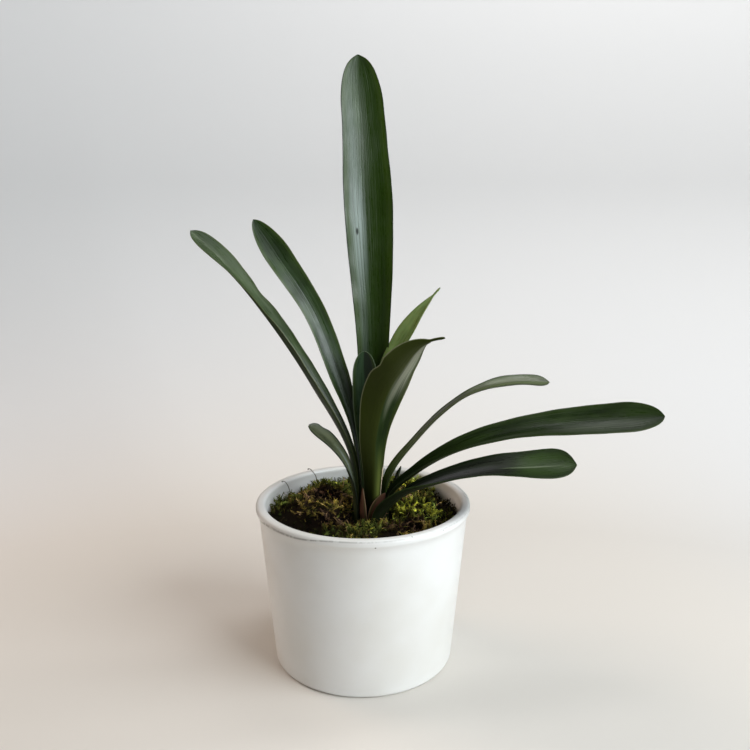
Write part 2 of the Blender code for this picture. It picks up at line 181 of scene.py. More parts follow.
class Recipe:
    """A node material written as a list of steps, with its colour so far."""

    def __init__(self, name: str, ground: Colour) -> None:
        """Starts a material.

        Args:
            name: The material's name.
            ground: The colour that the others are laid over.
        """
        self.colour: Value = ground
        self.material = bpy.data.materials.new(name)
        self.material.use_nodes = True
        self.tree = self.material.node_tree
        self.shader = self.tree.nodes["Principled BSDF"]

    def node(self, kind: str, inputs: dict[str | int, Value], **settings: object) -> bpy.types.Node:
        """Adds a node.

        Args:
            kind: The node's type.
            inputs: A number, a colour or another node's socket for each input.
            settings: The node's own options.

        Returns:
            The new node.
        """
        made = self.tree.nodes.new(kind)
        for option, setting in settings.items():
            setattr(made, option, setting)
        for key, value in inputs.items():
            self.feed(made.inputs[key], value)
        return made

    def feed(self, socket: Socket, value: Value) -> None:
        """Links a socket to another, or sets its number or colour.

        Args:
            socket: The socket.
            value: What it is linked or set to.
        """
        if isinstance(value, bpy.types.NodeSocket):
            self.tree.links.new(value, socket)
        elif socket.type == "RGBA":
            socket.default_value = (*value, 1.0)
        else:
            socket.default_value = value

    def object_place(self) -> Socket:
        """The place on the piece, in metres."""
        return self.node("ShaderNodeTexCoord", {}).outputs["Object"]

    def uv(self, layer: str) -> Socket:
        """A place on one of the piece's own UV maps."""
        return self.node("ShaderNodeUVMap", {}, uv_map=layer).outputs["UV"]

    def attribute(self, name: str) -> Socket:
        """A number stored on the piece's own mesh."""
        return self.node("ShaderNodeAttribute", {}, attribute_name=name).outputs["Fac"]

    def split(self, vector: Socket) -> Sequence[Socket]:
        """The three numbers of a vector."""
        return self.node("ShaderNodeSeparateXYZ", {"Vector": vector}).outputs

    def join(self, x: Value, y: Value, z: Value = 0.0) -> Socket:
        """A vector from three numbers."""
        return self.node("ShaderNodeCombineXYZ", {"X": x, "Y": y, "Z": z}).outputs["Vector"]

    def math(self, operation: str, first: Value, second: Value = 0.0) -> Socket:
        """The result of one operation on two numbers."""
        return self.node("ShaderNodeMath", {0: first, 1: second}, operation=operation).outputs[0]

    def plus(self, first: Value, second: Value) -> Socket:
        """One number added to another."""
        return self.math("ADD", first, second)

    def minus(self, first: Value, second: Value) -> Socket:
        """The second number taken from the first."""
        return self.math("SUBTRACT", first, second)

    def over(self, first: Value, second: Value) -> Socket:
        """The first number divided by the second."""
        return self.math("DIVIDE", first, second)

    def times(self, *factors: Value) -> Value:
        """The product of two or more numbers."""
        return reduce(lambda first, second: self.math("MULTIPLY", first, second), factors)

    def gap(self, first: Value, second: Value) -> Socket:
        """How far apart two numbers are."""
        return self.math("ABSOLUTE", self.minus(first, second))

    def from_axis(self, x: Socket, y: Socket) -> Socket:
        """Distance from the upright axis through the origin."""
        return self.math("SQRT", self.plus(self.times(x, x), self.times(y, y)))

    def distance(self, place: Socket, centre: Place) -> Socket:
        """Distance of a place from a fixed point."""
        inputs = {0: place, 1: centre}
        return self.node("ShaderNodeVectorMath", inputs, operation="DISTANCE").outputs["Value"]

    def speckle(self, place: Socket, scale: float, detail: float = 2.0, rough: float = 0.5) -> Socket:
        """Soft noise between 0 and 1."""
        inputs = {"Vector": place, "Scale": scale, "Detail": detail, "Roughness": rough}
        return self.node("ShaderNodeTexNoise", inputs).outputs["Fac"]

    def remap(self, value: Socket, low: float, high: float,
              out_low: float = 0.0, out_high: float = 1.0) -> Socket:
        """Maps one reach of numbers to another, with a soft step between.

        Args:
            value: The number to map.
            low: Where the step starts.
            high: Where it ends.
            out_low: The result at its start.
            out_high: The result at its end.

        Returns:
            The mapped number.
        """
        inputs = {"Value": value, "From Min": low, "From Max": high,
                  "To Min": out_low, "To Max": out_high}
        node = self.node("ShaderNodeMapRange", inputs, interpolation_type="SMOOTHSTEP")
        return node.outputs["Result"]

    def lay(self, mask: Value, tint: Value, mode: str = "MIX") -> None:
        """Lays a tint over the colour so far.

        Args:
            mask: 1 where the tint lies, and 0 where it doesn't.
            tint: The tint.
            mode: How it blends with what is under it.
        """
        mix = self.node("ShaderNodeMix", {}, data_type="RGBA", blend_type=mode)
        for index, value in ((0, mask), (6, self.colour), (7, tint)):
            self.feed(mix.inputs[index], value)
        self.colour = mix.outputs[2]

    def shade(self, light: Socket) -> None:
        """Makes the colour so far darker or lighter by a number."""
        self.lay(1.0, self.join(light, light, light), "MULTIPLY")

    def step(self, value: Socket, reach: Pair, out: Pair = (0.0, 1.0)) -> Socket:
        """Maps a place between two in millimetres to two numbers, with a soft step between."""
        return self.remap(value, reach[0] * MM, reach[1] * MM, *out)

    def ramp(self, factor: Socket, stops: Sequence[tuple[float, Colour]]) -> Socket:
        """Reads a colour from a row of stops.

        Args:
            factor: Where it is read, from 0 to 1.
            stops: Place and colour of each stop.

        Returns:
            The colour.
        """
        node = self.node("ShaderNodeValToRGB", {"Fac": factor})
        elements = node.color_ramp.elements
        while len(elements) < len(stops):
            elements.new(0.5)
        for element, (position, colour) in zip(elements, stops):
            element.position = position
            element.color = (*colour, 1.0)
        return node.outputs["Color"]

    def relief(self, height: Socket, depth: float, strength: float = 1.0) -> None:
        """Raises the surface by a height of the given depth in metres."""
        inputs = {"Height": height, "Distance": depth, "Strength": strength}
        self.feed(self.shader.inputs["Normal"], self.node("ShaderNodeBump", inputs).outputs["Normal"])

    def finish(self, roughness: Value, **numbers: float) -> bpy.types.Material:
        """Hands the colour, the roughness and plain numbers to the shader.

        Args:
            roughness: The roughness.
            numbers: Other inputs, with _ for each space in the name.

        Returns:
            The material.
        """
        self.feed(self.shader.inputs["Base Color"], self.colour)
        self.feed(self.shader.inputs["Roughness"], roughness)
        for name, number in numbers.items():
            self.shader.inputs[name.replace("_", " ")].default_value = number
        return self.material


@dataclass(frozen=True)
class GlazeFinish:
    """White satin glaze, a little uneven, with dull marks where soil and water touch it, painted light
    on the inside of its wall and painted shadow under its lip on the left.
    """

    white: Colour = (0.80, 0.80, 0.79)
    warm: Colour = (0.74, 0.73, 0.70)
    cloud_scale: float = 16.0
    inside_painted_light: Colour = (0.93, 0.93, 0.93)  # painted light: the inside of the wall, made whiter than the glaze to stand in for light that the leaves keep off
    inside_light_from: Pair = (96.0, 99.0)  # heights between which it sets in
    inner_radius: float = 67.9
    stain: Colour = (0.40, 0.38, 0.25)
    stain_heights: Pair = (110.5, 101.0)  # heights between which the stain grows, downwards
    stain_sides: Pair = (-5.0, 45.0)  # x between which the stain grows from faint to full
    mark: Colour = (0.07, 0.05, 0.035)
    # worn, thin glaze along the front of the rim, which on the left is painted shadow under the lip
    bare_and_shadow: Colour = (0.24, 0.22, 0.195)
    bare_line: float = 115.0  # height at which the glaze runs thin along the rim's outer edge
    shadow_drop: Pair = (2.2, 5.0)  # how far that line sinks on the left, and on the far left, as painted shadow under the lip
    line_and_shadow_width: Pair = (0.75, 1.9)  # half its width on the right, and on the far left, where it widens into painted shadow
    bare_radius: Pair = (72.6, 73.2)  # it shows only outside this
    far_left: float = -74.0
    roughness: float = 0.36
    ripple_depth: float = 0.12
    # x, y, z and radius of small dark marks on the rim
    marks: tuple[tuple[float, float, float, float], ...] = (
        (31.5, -66.4, 115.3, 0.8), (33.2, -66.2, 114.6, 0.6), (8.6, -74.2, 111.2, 0.8),
        (-24.0, -70.8, 113.5, 0.35), (52.0, -53.6, 114.2, 0.4))

    def material(self) -> bpy.types.Material:
        """Mixes the glaze.

        Returns:
            The material.
        """
        mix = Recipe("pot_glaze", self.white)
        place = mix.object_place()
        mix.lay(mix.remap(mix.speckle(place, self.cloud_scale, 3.0), 0.35, 0.7), self.warm)
        self.dress_inside(mix, place)
        for x, y, z, size in self.marks:
            away = mix.distance(place, (x * MM, y * MM, z * MM))
            ragged = mix.plus(away, mix.remap(mix.speckle(place, 900.0), 0, 1, 0, 0.8 * size * MM))
            mix.lay(mix.step(ragged, (1.3 * size, 0.8 * size)), self.mark)
        self.wear_and_shade_rim(mix, place)
        roughness = mix.remap(mix.speckle(place, 45.0, 4.0), 0.25, 0.75, self.roughness - 0.06,
                              self.roughness + 0.08)
        mix.relief(mix.speckle(place, 130.0, 2.0), self.ripple_depth * MM, 0.35)
        return mix.finish(roughness, Coat_Weight=0.25, Coat_Roughness=0.22)

    def dress_inside(self, mix: Recipe, place: Socket) -> None:
        """Paints light on the inside of the wall and stains it over the soil.

        Args:
            mix: The glaze's recipe.
            place: The place on the pot.
        """
        x, y, z = mix.split(place)
        within = mix.step(mix.from_axis(x, y), (self.inner_radius + 0.4, self.inner_radius - 0.2))
        inside = mix.times(within, mix.step(z, self.inside_light_from))
        mix.lay(inside, self.inside_painted_light)
        low = mix.step(z, self.stain_heights)
        patchy = mix.remap(mix.speckle(place, 40.0, 4.0, 0.6), 0.2, 0.6)
        side = mix.step(x, self.stain_sides, (0.04, 0.9))
        mix.lay(mix.times(inside, low, patchy, side), self.stain)

    def wear_and_shade_rim(self, mix: Recipe, place: Socket) -> None:
        """Wears the glaze thin in a broken line along the front of the rim, and paints shadow under the
        lip where the line sinks and widens on the left.

        Args:
            mix: The glaze's recipe.
            place: The place on the pot.
        """
        x, y, z = mix.split(place)
        left_drop, far_drop = self.shadow_drop
        sink = mix.math("POWER", mix.step(x, (-60.0, self.far_left)), 1.5)
        line = mix.step(x, (-45.0, -15.0), ((self.bare_line - left_drop) * MM, self.bare_line * MM))
        line = mix.minus(line, mix.times(sink, far_drop * MM))
        half_width = mix.step(x, (-20.0, self.far_left), tuple(width * MM for width in self.line_and_shadow_width))
        near = mix.remap(mix.over(mix.gap(z, line), half_width), 1.0, 0.0)
        broken = mix.remap(mix.speckle(place, 420.0, 2.0), 0.35, 0.55, 0.45, 1.0)
        fainter = mix.step(x, (-40.0, 30.0), (0.8, 0.3))
        front = mix.step(y, (0.0, -12.0))
        outside = mix.step(mix.from_axis(x, y), self.bare_radius)
        mix.lay(mix.times(near, broken, fainter, front, outside), self.bare_and_shadow)


@dataclass(frozen=True)
class GlazedPot:
    """The turned pot: a tapered wall, a flat base and a rounded roll at the rim."""

    height: float = 116.0
    base_radius: float = 63.7
    foot_round: float = 3.0
    shoulder_radius: float = 73.1
    shoulder_height: float = 110.2
    rim_outer: float = 75.0
    rim_inner: float = 68.2
    roll_height: float = 3.2
    rim_power: float = 2.9
    # steps out and up from the shoulder, where the wall turns into the rim
    neck: tuple[Pair, ...] = ((-0.44, -5.0), (-0.2, -3.4), (0.15, -2.0), (0.6, -0.8), (1.1, 0.3),
                              (1.5, 1.0))
    wall: float = 4.8
    floor: float = 6.0
    inner_round: float = 9.0
    steps: int = 224
    sway: Pair = (0.12, 0.07)  # slow and quick unevenness of the turned wall
    finish: GlazeFinish = GlazeFinish()

    def profile(self) -> list[Pair]:
        """The pot's outline, from the middle of its base round to the middle of its floor.

        Returns:
            Radius and height of each point.
        """
        foot = elliptic_arc((self.base_radius - self.foot_round, self.foot_round),
                            (self.foot_round, self.foot_round), -90, 5, 10)
        share = np.linspace(0, 1, 12)[1:-1]
        wall = [(self.base_radius + s * (self.shoulder_radius - self.base_radius),
                 self.foot_round + s * (self.shoulder_height - self.foot_round)) for s in share]
        neck = [(self.shoulder_radius + out, self.shoulder_height + up) for out, up in self.neck]
        middle = ((self.rim_outer + self.rim_inner) / 2, self.height - self.roll_height)
        roll = elliptic_arc(middle, ((self.rim_outer - self.rim_inner) / 2, self.roll_height),
                            -10, 180, 30, self.rim_power)
        corner_height = self.floor + self.inner_round
        wall_share = corner_height / self.shoulder_height
        corner_radius = (self.base_radius + (self.shoulder_radius - self.base_radius) * wall_share
                         - self.wall - self.inner_round)
        corner = elliptic_arc((corner_radius, corner_height), (self.inner_round, self.inner_round),
                              -5, -90, 8)
        return [(0, 0), *foot, *wall, *neck, *roll, *corner, (0, self.floor)]

    def build(self) -> None:
        """Turns the pot, gives its wall the slight unevenness of thrown ware, and glazes it."""
        pot = lathe(self.profile(), self.steps)
        places = coordinates(pot.data)
        angle = np.arctan2(places[:, 1], places[:, 0])
        level = places[:, 2] / (self.height * MM)
        slow, quick = self.sway
        sway = slow * np.sin(2 * angle + 0.6) + quick * np.sin(5 * angle + 4 * level)
        reach = np.hypot(places[:, 0], places[:, 1])
        outer = np.clip(reach / (self.base_radius * MM), 0, 1) ** 4
        grown = 1 + sway * MM * outer * level / np.maximum(reach, MM)
        places[:, :2] *= grown[:, None]
        place_vertices(pot.data, places)
        take_up(pot)
        bpy.ops.object.shade_smooth_by_angle(angle=math.radians(40))
        pot.data.materials.append(self.finish.material())
        settle(pot, "glazed_pot", ["pot"])


@dataclass(frozen=True)
class CrownFinish:
    """Dark, earthy stem, patched with paler green."""

    earth: Colour = (0.020, 0.014, 0.008)
    flesh: Colour = (0.055, 0.060, 0.020)

    def material(self) -> bpy.types.Material:
        """Mixes the crown's skin.

        Returns:
            The material.
        """
        mix = Recipe("crown_skin", self.earth)
        cloud = mix.speckle(mix.object_place(), 180.0, 4.0, 0.6)
        mix.lay(mix.remap(cloud, 0.45, 0.7), self.flesh)
        mix.relief(cloud, 0.5 * MM, 0.6)
        return mix.finish(0.6)


@dataclass(frozen=True)
class Crown:
    """The short bulbous stem that the leaves grow from, ringed by the scars of old leaves."""

    x: float = 5.5
    y: float = -3.25
    radius: float = 16.8
    bottom: float = 70.3
    top: float = 98.0
    dome: float = 1.6
    collars: int = 6
    collar_depth: float = 0.7
    finish: CrownFinish = CrownFinish()

    def top_at(self, reach: float) -> float:
        """Height of the domed top at a distance from the crown's own axis."""
        return self.top - self.dome * min(reach / self.radius, 1.0) ** 2

    def profile(self) -> list[Pair]:
        """Outline from the middle of the bottom round to the middle of the top.

        Returns:
            Radius and height of each point.
        """
        low = self.radius - 4.0
        shoulder = self.top - self.dome - 1.5
        share = np.linspace(0, 1, 6 * self.collars + 1)
        side = [(low + (self.radius - low) * math.sin(0.5 * math.pi * min(1.6 * s, 1.0))
                 - self.collar_depth * (self.collars * s % 1.0),
                 self.bottom + 1.0 + s * (shoulder - self.bottom - 1.0)) for s in share]
        ring = np.linspace(self.radius - 0.8, 0, 8)
        return [(0, self.bottom), (low - 1.0, self.bottom), *side, *[(r, self.top_at(r)) for r in ring]]

    def build(self) -> None:
        """Turns the crown and sets it in its place in the soil."""
        crown = lathe(self.profile(), 72)
        take_up(crown)
        crown.location = (self.x * MM, self.y * MM, 0.0)
        bpy.ops.object.transform_apply(location=True)
        bpy.ops.object.shade_smooth_by_angle(angle=math.radians(45))
        crown.data.materials.append(self.finish.material())
        settle(crown, "crown_stem", ["crown"])


CROWN = Crown()


@dataclass(frozen=True)
class SoilFinish:
    """Damp potting soil: nearly black, with browner grains."""

    wet: Colour = (0.012, 0.009, 0.007)
    grain: Colour = (0.055, 0.038, 0.026)
    dry: Colour = (0.16, 0.11, 0.07)

    def material(self) -> bpy.types.Material:
        """Mixes the soil.

        Returns:
            The material.
        """
        mix = Recipe("soil_crumbs", self.wet)
        place = mix.object_place()
        grains = mix.speckle(place, 420.0, 4.0, 0.7)
        mix.lay(mix.remap(grains, 0.42, 0.66), self.grain)
        mix.lay(mix.remap(mix.speckle(place, 900.0, 2.0), 0.66, 0.76), self.dry)
        mix.relief(grains, 1.2 * MM, 0.8)
        return mix.finish(0.88)


@dataclass(frozen=True)
class Soil:
    """The soil that fills the pot, with loose crumbs lying on it."""

    top: float = 101.5
    radius: float = 67.0
    bottom_radius: float = 50.0
    bottom: float = 6.3
    hole_radius: float = 17.4
    hole_bottom: float = 70.0
    settled: float = 0.9  # how far the bumpy top lies under the plain one
    bumps: Pair = (0.8, 0.5)  # rise of the coarse and of the fine bumps
    crumbs: int = 1900
    crumb_sizes: Pair = (0.45, 1.9)
    seed: int = 5
    finish: SoilFinish = SoilFinish()

    def height_at(self, x: float, y: float) -> float:
        """Reads the soil's bumpy top.

        Args:
            x: Place to the right.
            y: Place to the back.

        Returns:
            The height there.
        """
        coarse = noise.fractal(Vector((x * 0.09, y * 0.09, 3.0)), 0.9, 2.1, 3)
        fine = noise.fractal(Vector((x * 0.5, y * 0.5, 8.0)), 0.8, 2.2, 3)
        return self.top - self.settled + self.bumps[0] * coarse + self.bumps[1] * fine

    def build(self) -> None:
        """Turns the body, roughens its top and scatters the crumbs."""
        material = self.finish.material()
        rings = [(r, self.top) for r in np.linspace(self.radius, 0, 64)]
        profile = [(0, self.bottom), (self.bottom_radius, self.bottom),
                   (self.bottom_radius + 9.0, self.bottom + 9.0), (self.radius - 0.3, self.top - 2.0),
                   *rings]
        body = lathe(profile, 200)
        self.cut_hole(body)
        places = coordinates(body.data)
        on_top = places[:, 2] > (self.top - 0.5) * MM
        for index in np.flatnonzero(on_top):
            x, y, _ = places[index] / MM
            places[index, 2] = self.height_at(x, y) * MM
        place_vertices(body.data, places)
        take_up(body)
        bpy.ops.object.shade_smooth_by_angle(angle=math.radians(50))
        body.data.materials.append(material)
        settle(body, "soil_body", ["soil"])
        self.scatter_crumbs(material)

    def cut_hole(self, body: bpy.types.Object) -> None:
        """Cuts the round hole that the crown stands in.

        Args:
            body: The soil's body.
        """
        depth = 2 * (self.top - self.hole_bottom)
        deselect()
        bpy.ops.mesh.primitive_cylinder_add(
            vertices=64, radius=self.hole_radius * MM, depth=depth * MM,
            location=(CROWN.x * MM, CROWN.y * MM, (self.hole_bottom + depth / 2) * MM))
        cutter = bpy.context.object
        hole = body.modifiers.new("hole", "BOOLEAN")
        hole.operation = "DIFFERENCE"
        hole.solver = "EXACT"
        hole.object = cutter
        apply_modifiers(body)
        bpy.data.objects.remove(cutter)

    def ground_at(self, x: float, y: float) -> float:
        """Height of what a crumb lies on at a place: the soil, or the crown in its hole."""
        from_crown = math.hypot(x - CROWN.x, y - CROWN.y)
        return CROWN.top_at(from_crown) if from_crown < self.hole_radius else self.height_at(x, y)

    def scatter_crumbs(self, material: bpy.types.Material) -> None:
        """Copies one rough crumb all over the soil's top.

        Args:
            material: The soil's material.
        """
        rng = np.random.default_rng(self.seed)
        deselect()
        bpy.ops.mesh.primitive_ico_sphere_add(subdivisions=1, radius=1.0)
        crumb = bpy.context.object
        shape = coordinates(crumb.data)
        shape *= rng.uniform(0.7, 1.15, (len(shape), 1))
        corners = np.array([face.vertices[:] for face in crumb.data.polygons])
        bpy.data.objects.remove(crumb)
        reach = self.radius * np.sqrt(rng.uniform(0, 1, self.crumbs)) - 1.5
        turn = rng.uniform(0, math.tau, self.crumbs)
        size = rng.uniform(0, 1, self.crumbs) ** 2.2 * (self.crumb_sizes[1] - self.crumb_sizes[0])
        size += self.crumb_sizes[0]
        x, y = reach * np.cos(turn), reach * np.sin(turn)
        z = np.array([self.ground_at(a, b) for a, b in zip(x, y)]) + 0.3 * size
        copies = scattered(shape, corners, np.stack([x, y, z], axis=1) * MM,
                           random_turns(rng, self.crumbs), size * MM)
        piece = mesh_piece("soil_loose_crumbs", *copies)
        piece.data.materials.append(material)
        settle(piece, "soil_loose_crumbs")


def random_turns(rng: np.random.Generator, count: int) -> Array:
    """Turns copies of a shape at random.

    Args:
        rng: The random numbers.
        count: Number of copies.

    Returns:
        A rotation matrix for each copy.
    """
    basis, _ = np.linalg.qr(rng.normal(size=(count, 3, 3)))
    basis *= np.sign(np.linalg.det(basis))[:, None, None]
    return basis


def scattered(shape: Array, corners: Array, places: Array, turns: Array,
              sizes: Array) -> tuple[Array, Array]:
    """Copies one shape to many places.

    Args:
        shape: Vertices of the shape.
        corners: Three vertex numbers for each of its triangles.
        places: Where each copy goes.
        turns: A rotation matrix for each copy.
        sizes: A size for each copy.

    Returns:
        Vertices and triangles of all the copies.
    """
    points = np.einsum("kij,nj->kni", turns, shape) * sizes[:, None, None] + places[:, None]
    offsets = np.arange(len(places)) * len(shape)
    faces = corners[None] + offsets[:, None, None]
    return points.reshape(-1, 3), faces.reshape(-1, 3)


def mesh_piece(name: str, points: Array, triangles: Array) -> bpy.types.Object:
    """Makes a new object.

    Args:
        name: Its name.
        points: Its vertices.
        triangles: Three vertex numbers for each of its triangles.

    Returns:
        The object.
    """
    mesh = bpy.data.meshes.new(name)
    mesh.vertices.add(len(points))
    mesh.vertices.foreach_set("co", points.ravel())
    mesh.loops.add(triangles.size)
    mesh.loops.foreach_set("vertex_index", triangles.ravel().astype(np.int32))
    mesh.polygons.add(len(triangles))
    mesh.polygons.foreach_set("loop_start", np.arange(0, triangles.size, 3, dtype=np.int32))
    mesh.update(calc_edges=True)
    piece = bpy.data.objects.new(name, mesh)
    bpy.context.scene.collection.objects.link(piece)
    return piece


class Growth(IntEnum):
    """Ways in which a moss shoot grows, numbered by their places in HABITS."""

    STAR = 0  # upright shoot with a spray of narrow leaves
    THREAD = 1  # dry curling thread
    FEATHER = 2  # creeping stem with rows of short leaflets


@dataclass(frozen=True)
class Shoot:
    """One moss shoot, modelled at a length of one and then copied to many places."""

    growth: Growth
    bend: float
    stem_radius: float
    leaflets: int = 0
    leaflet_length: float = 0.3
    leaflet_radius: float = 0.05
    spread: float = 50.0
    joints: int = 5

    def model(self) -> tuple[Array, Array, Array]:
        """Draws the stem out of a triangle and sets its leaflets on it.

        Returns:
            Vertices, triangles, and each vertex's share of the way from foot to tip.
        """
        deselect()
        bpy.ops.mesh.primitive_circle_add(vertices=3, radius=self.stem_radius, fill_type="NGON")
        shoot = bpy.context.object
        bpy.ops.object.mode_set(mode="EDIT")
        bpy.ops.mesh.select_all(action="SELECT")
        turn = math.radians(self.bend) / self.joints
        centre = Vector((0.0, 0.0, 0.0))
        stem = [(centre.copy(), Vector((0.0, 0.0, 1.0)))]
        for joint in range(1, self.joints + 1):
            heading = Vector((math.sin(joint * turn), 0.0, math.cos(joint * turn)))
            centre += heading / self.joints
            bpy.ops.mesh.extrude_region_move(TRANSFORM_OT_translate={"value": heading / self.joints})
            bpy.ops.transform.rotate(value=-turn, orient_axis="Y", center_override=centre)
            bpy.ops.transform.resize(value=(0.8, 0.8, 0.8), center_override=centre)
            stem.append((centre.copy(), heading))
        for index in range(self.leaflets):
            self.add_leaflet(stem, index)
        bpy.ops.mesh.select_all(action="SELECT")
        bpy.ops.mesh.normals_make_consistent(inside=False)
        bpy.ops.mesh.quads_convert_to_tris()
        bpy.ops.object.mode_set(mode="OBJECT")
        points = coordinates(shoot.data)
        triangles = np.array([face.vertices[:] for face in shoot.data.polygons])
        tip = np.array(stem[-1][0])
        share = np.clip(points @ tip / (tip @ tip), 0.0, 1.0)
        bpy.data.objects.remove(shoot)
        return points, triangles, share

    def add_leaflet(self, stem: list[tuple[Vector, Vector]], index: int) -> None:
        """Adds one leaflet to the stem.

        Args:
            stem: Place and heading of each joint.
            index: Which leaflet it is, from the foot.
        """
        if self.growth is Growth.STAR:
            share = 0.35 + 0.5 * index / self.leaflets
            turn = index * 2.4
        else:
            share = (index + 1.5) / (self.leaflets + 1)
            turn = math.pi * index + 0.5 * math.sin(3.0 * index)
        place = share * (len(stem) - 1)
        low = min(int(place), len(stem) - 2)
        centre = stem[low][0].lerp(stem[low + 1][0], place - low)
        heading = stem[low + 1][1]
        outwards = (heading.orthogonal().normalized() if self.growth is Growth.STAR
                    else Vector((0.0, 1.0, 0.0)))
        outwards = outwards.copy()
        outwards.rotate(Quaternion(heading, turn))
        lean = math.radians(self.spread)
        direction = math.cos(lean) * heading + math.sin(lean) * outwards
        length = self.leaflet_length * (1.15 - 0.6 * share)
        bpy.ops.mesh.primitive_cone_add(
            vertices=3, radius1=self.leaflet_radius, radius2=0.0, depth=length,
            location=centre + 0.45 * length * direction,
            rotation=direction.to_track_quat("Z", "Y").to_euler())


SHOOTS = (
    Shoot(Growth.FEATHER, 60, 0.034, leaflets=14, leaflet_length=0.25, leaflet_radius=0.042, joints=6),
    Shoot(Growth.FEATHER, 125, 0.034, leaflets=14, leaflet_length=0.23, leaflet_radius=0.042, joints=6),
    Shoot(Growth.FEATHER, -35, 0.030, leaflets=11, leaflet_radius=0.040),
    Shoot(Growth.STAR, 15, 0.06, leaflets=8, leaflet_length=0.80, leaflet_radius=0.06, spread=36,
          joints=3),
    Shoot(Growth.STAR, 30, 0.06, leaflets=8, leaflet_length=0.66, leaflet_radius=0.085, spread=58,
          joints=3),
    Shoot(Growth.THREAD, 160, 0.020, joints=7),
    Shoot(Growth.THREAD, 80, 0.022, leaflets=2, leaflet_radius=0.03),
)


@dataclass(frozen=True)
class MossPatch:
    """A part of the moss with its own colour and growth, and its painted light and shade.

    hue runs from 0, rotten black, over red brown, dry gold and green to 1, fresh yellow green.
    """

    x: float
    y: float
    spread: float
    hue: float
    cover: float = 1.0
    star: float = 0.15
    thread: float = 0.12
    # light is painted light and shade: far below 1 for the dark pockets in shade, above 1 where light
    # falls on the moss
    light: float = 1.0


@dataclass(frozen=True)
class Habit:
    """How all the shoots of one growth stand on the moss."""

    models: tuple[int, int]  # the first of its models in SHOOTS, and the one after its last
    lift: float  # pull away from the mat
    wild: float  # how freely it leans
    size: float = 1.0
    light: float = 1.0


HABITS = (
    Habit((3, 5), lift=1.0, wild=0.28, size=0.62),
    Habit((5, 7), lift=0.55, wild=0.6, size=1.25, light=1.6),
    Habit((0, 3), lift=0.42, wild=0.55),
)


@dataclass(frozen=True)
class MossFinish:
    """Moss from rotten black to fresh yellow green, each shoot in painted shade at its foot and paler
    towards its tip.
    """

    stops: tuple[tuple[float, Colour], ...] = (
        (0.00, (0.006, 0.005, 0.004)), (0.18, (0.085, 0.032, 0.018)), (0.34, (0.36, 0.23, 0.145)),
        (0.48, (0.42, 0.30, 0.070)), (0.64, (0.150, 0.160, 0.032)), (0.82, (0.150, 0.200, 0.044)),
        (1.00, (0.68, 0.66, 0.085)))
    gloss: float = 0.06

    def material(self, name: str) -> bpy.types.Material:
        """Mixes the moss, which reads the hue and the painted light and shade stored on each shoot.

        Args:
            name: The material's name.

        Returns:
            The material.
        """
        mix = Recipe(name, self.stops[0][1])
        cloud = mix.speckle(mix.object_place(), 260.0, 3.0, 0.6)
        cloud = mix.remap(cloud, 0.25, 0.75, -0.07, 0.07)
        mix.colour = mix.ramp(mix.plus(mix.attribute("moss_hue"), cloud), self.stops)
        mix.shade(mix.attribute("moss_light"))
        return mix.finish(0.8, Specular_IOR_Level=self.gloss)


@dataclass(frozen=True)
class Cushion:
    """One moss cushion, between two directions from the crown in degrees."""

    node: str
    first: float
    last: float

    def direction(self, across: Array) -> Array:
        """Direction from the crown in radians, with across from -1 to 1."""
        return np.radians((self.first + self.last) / 2 + across * (self.last - self.first) / 2)


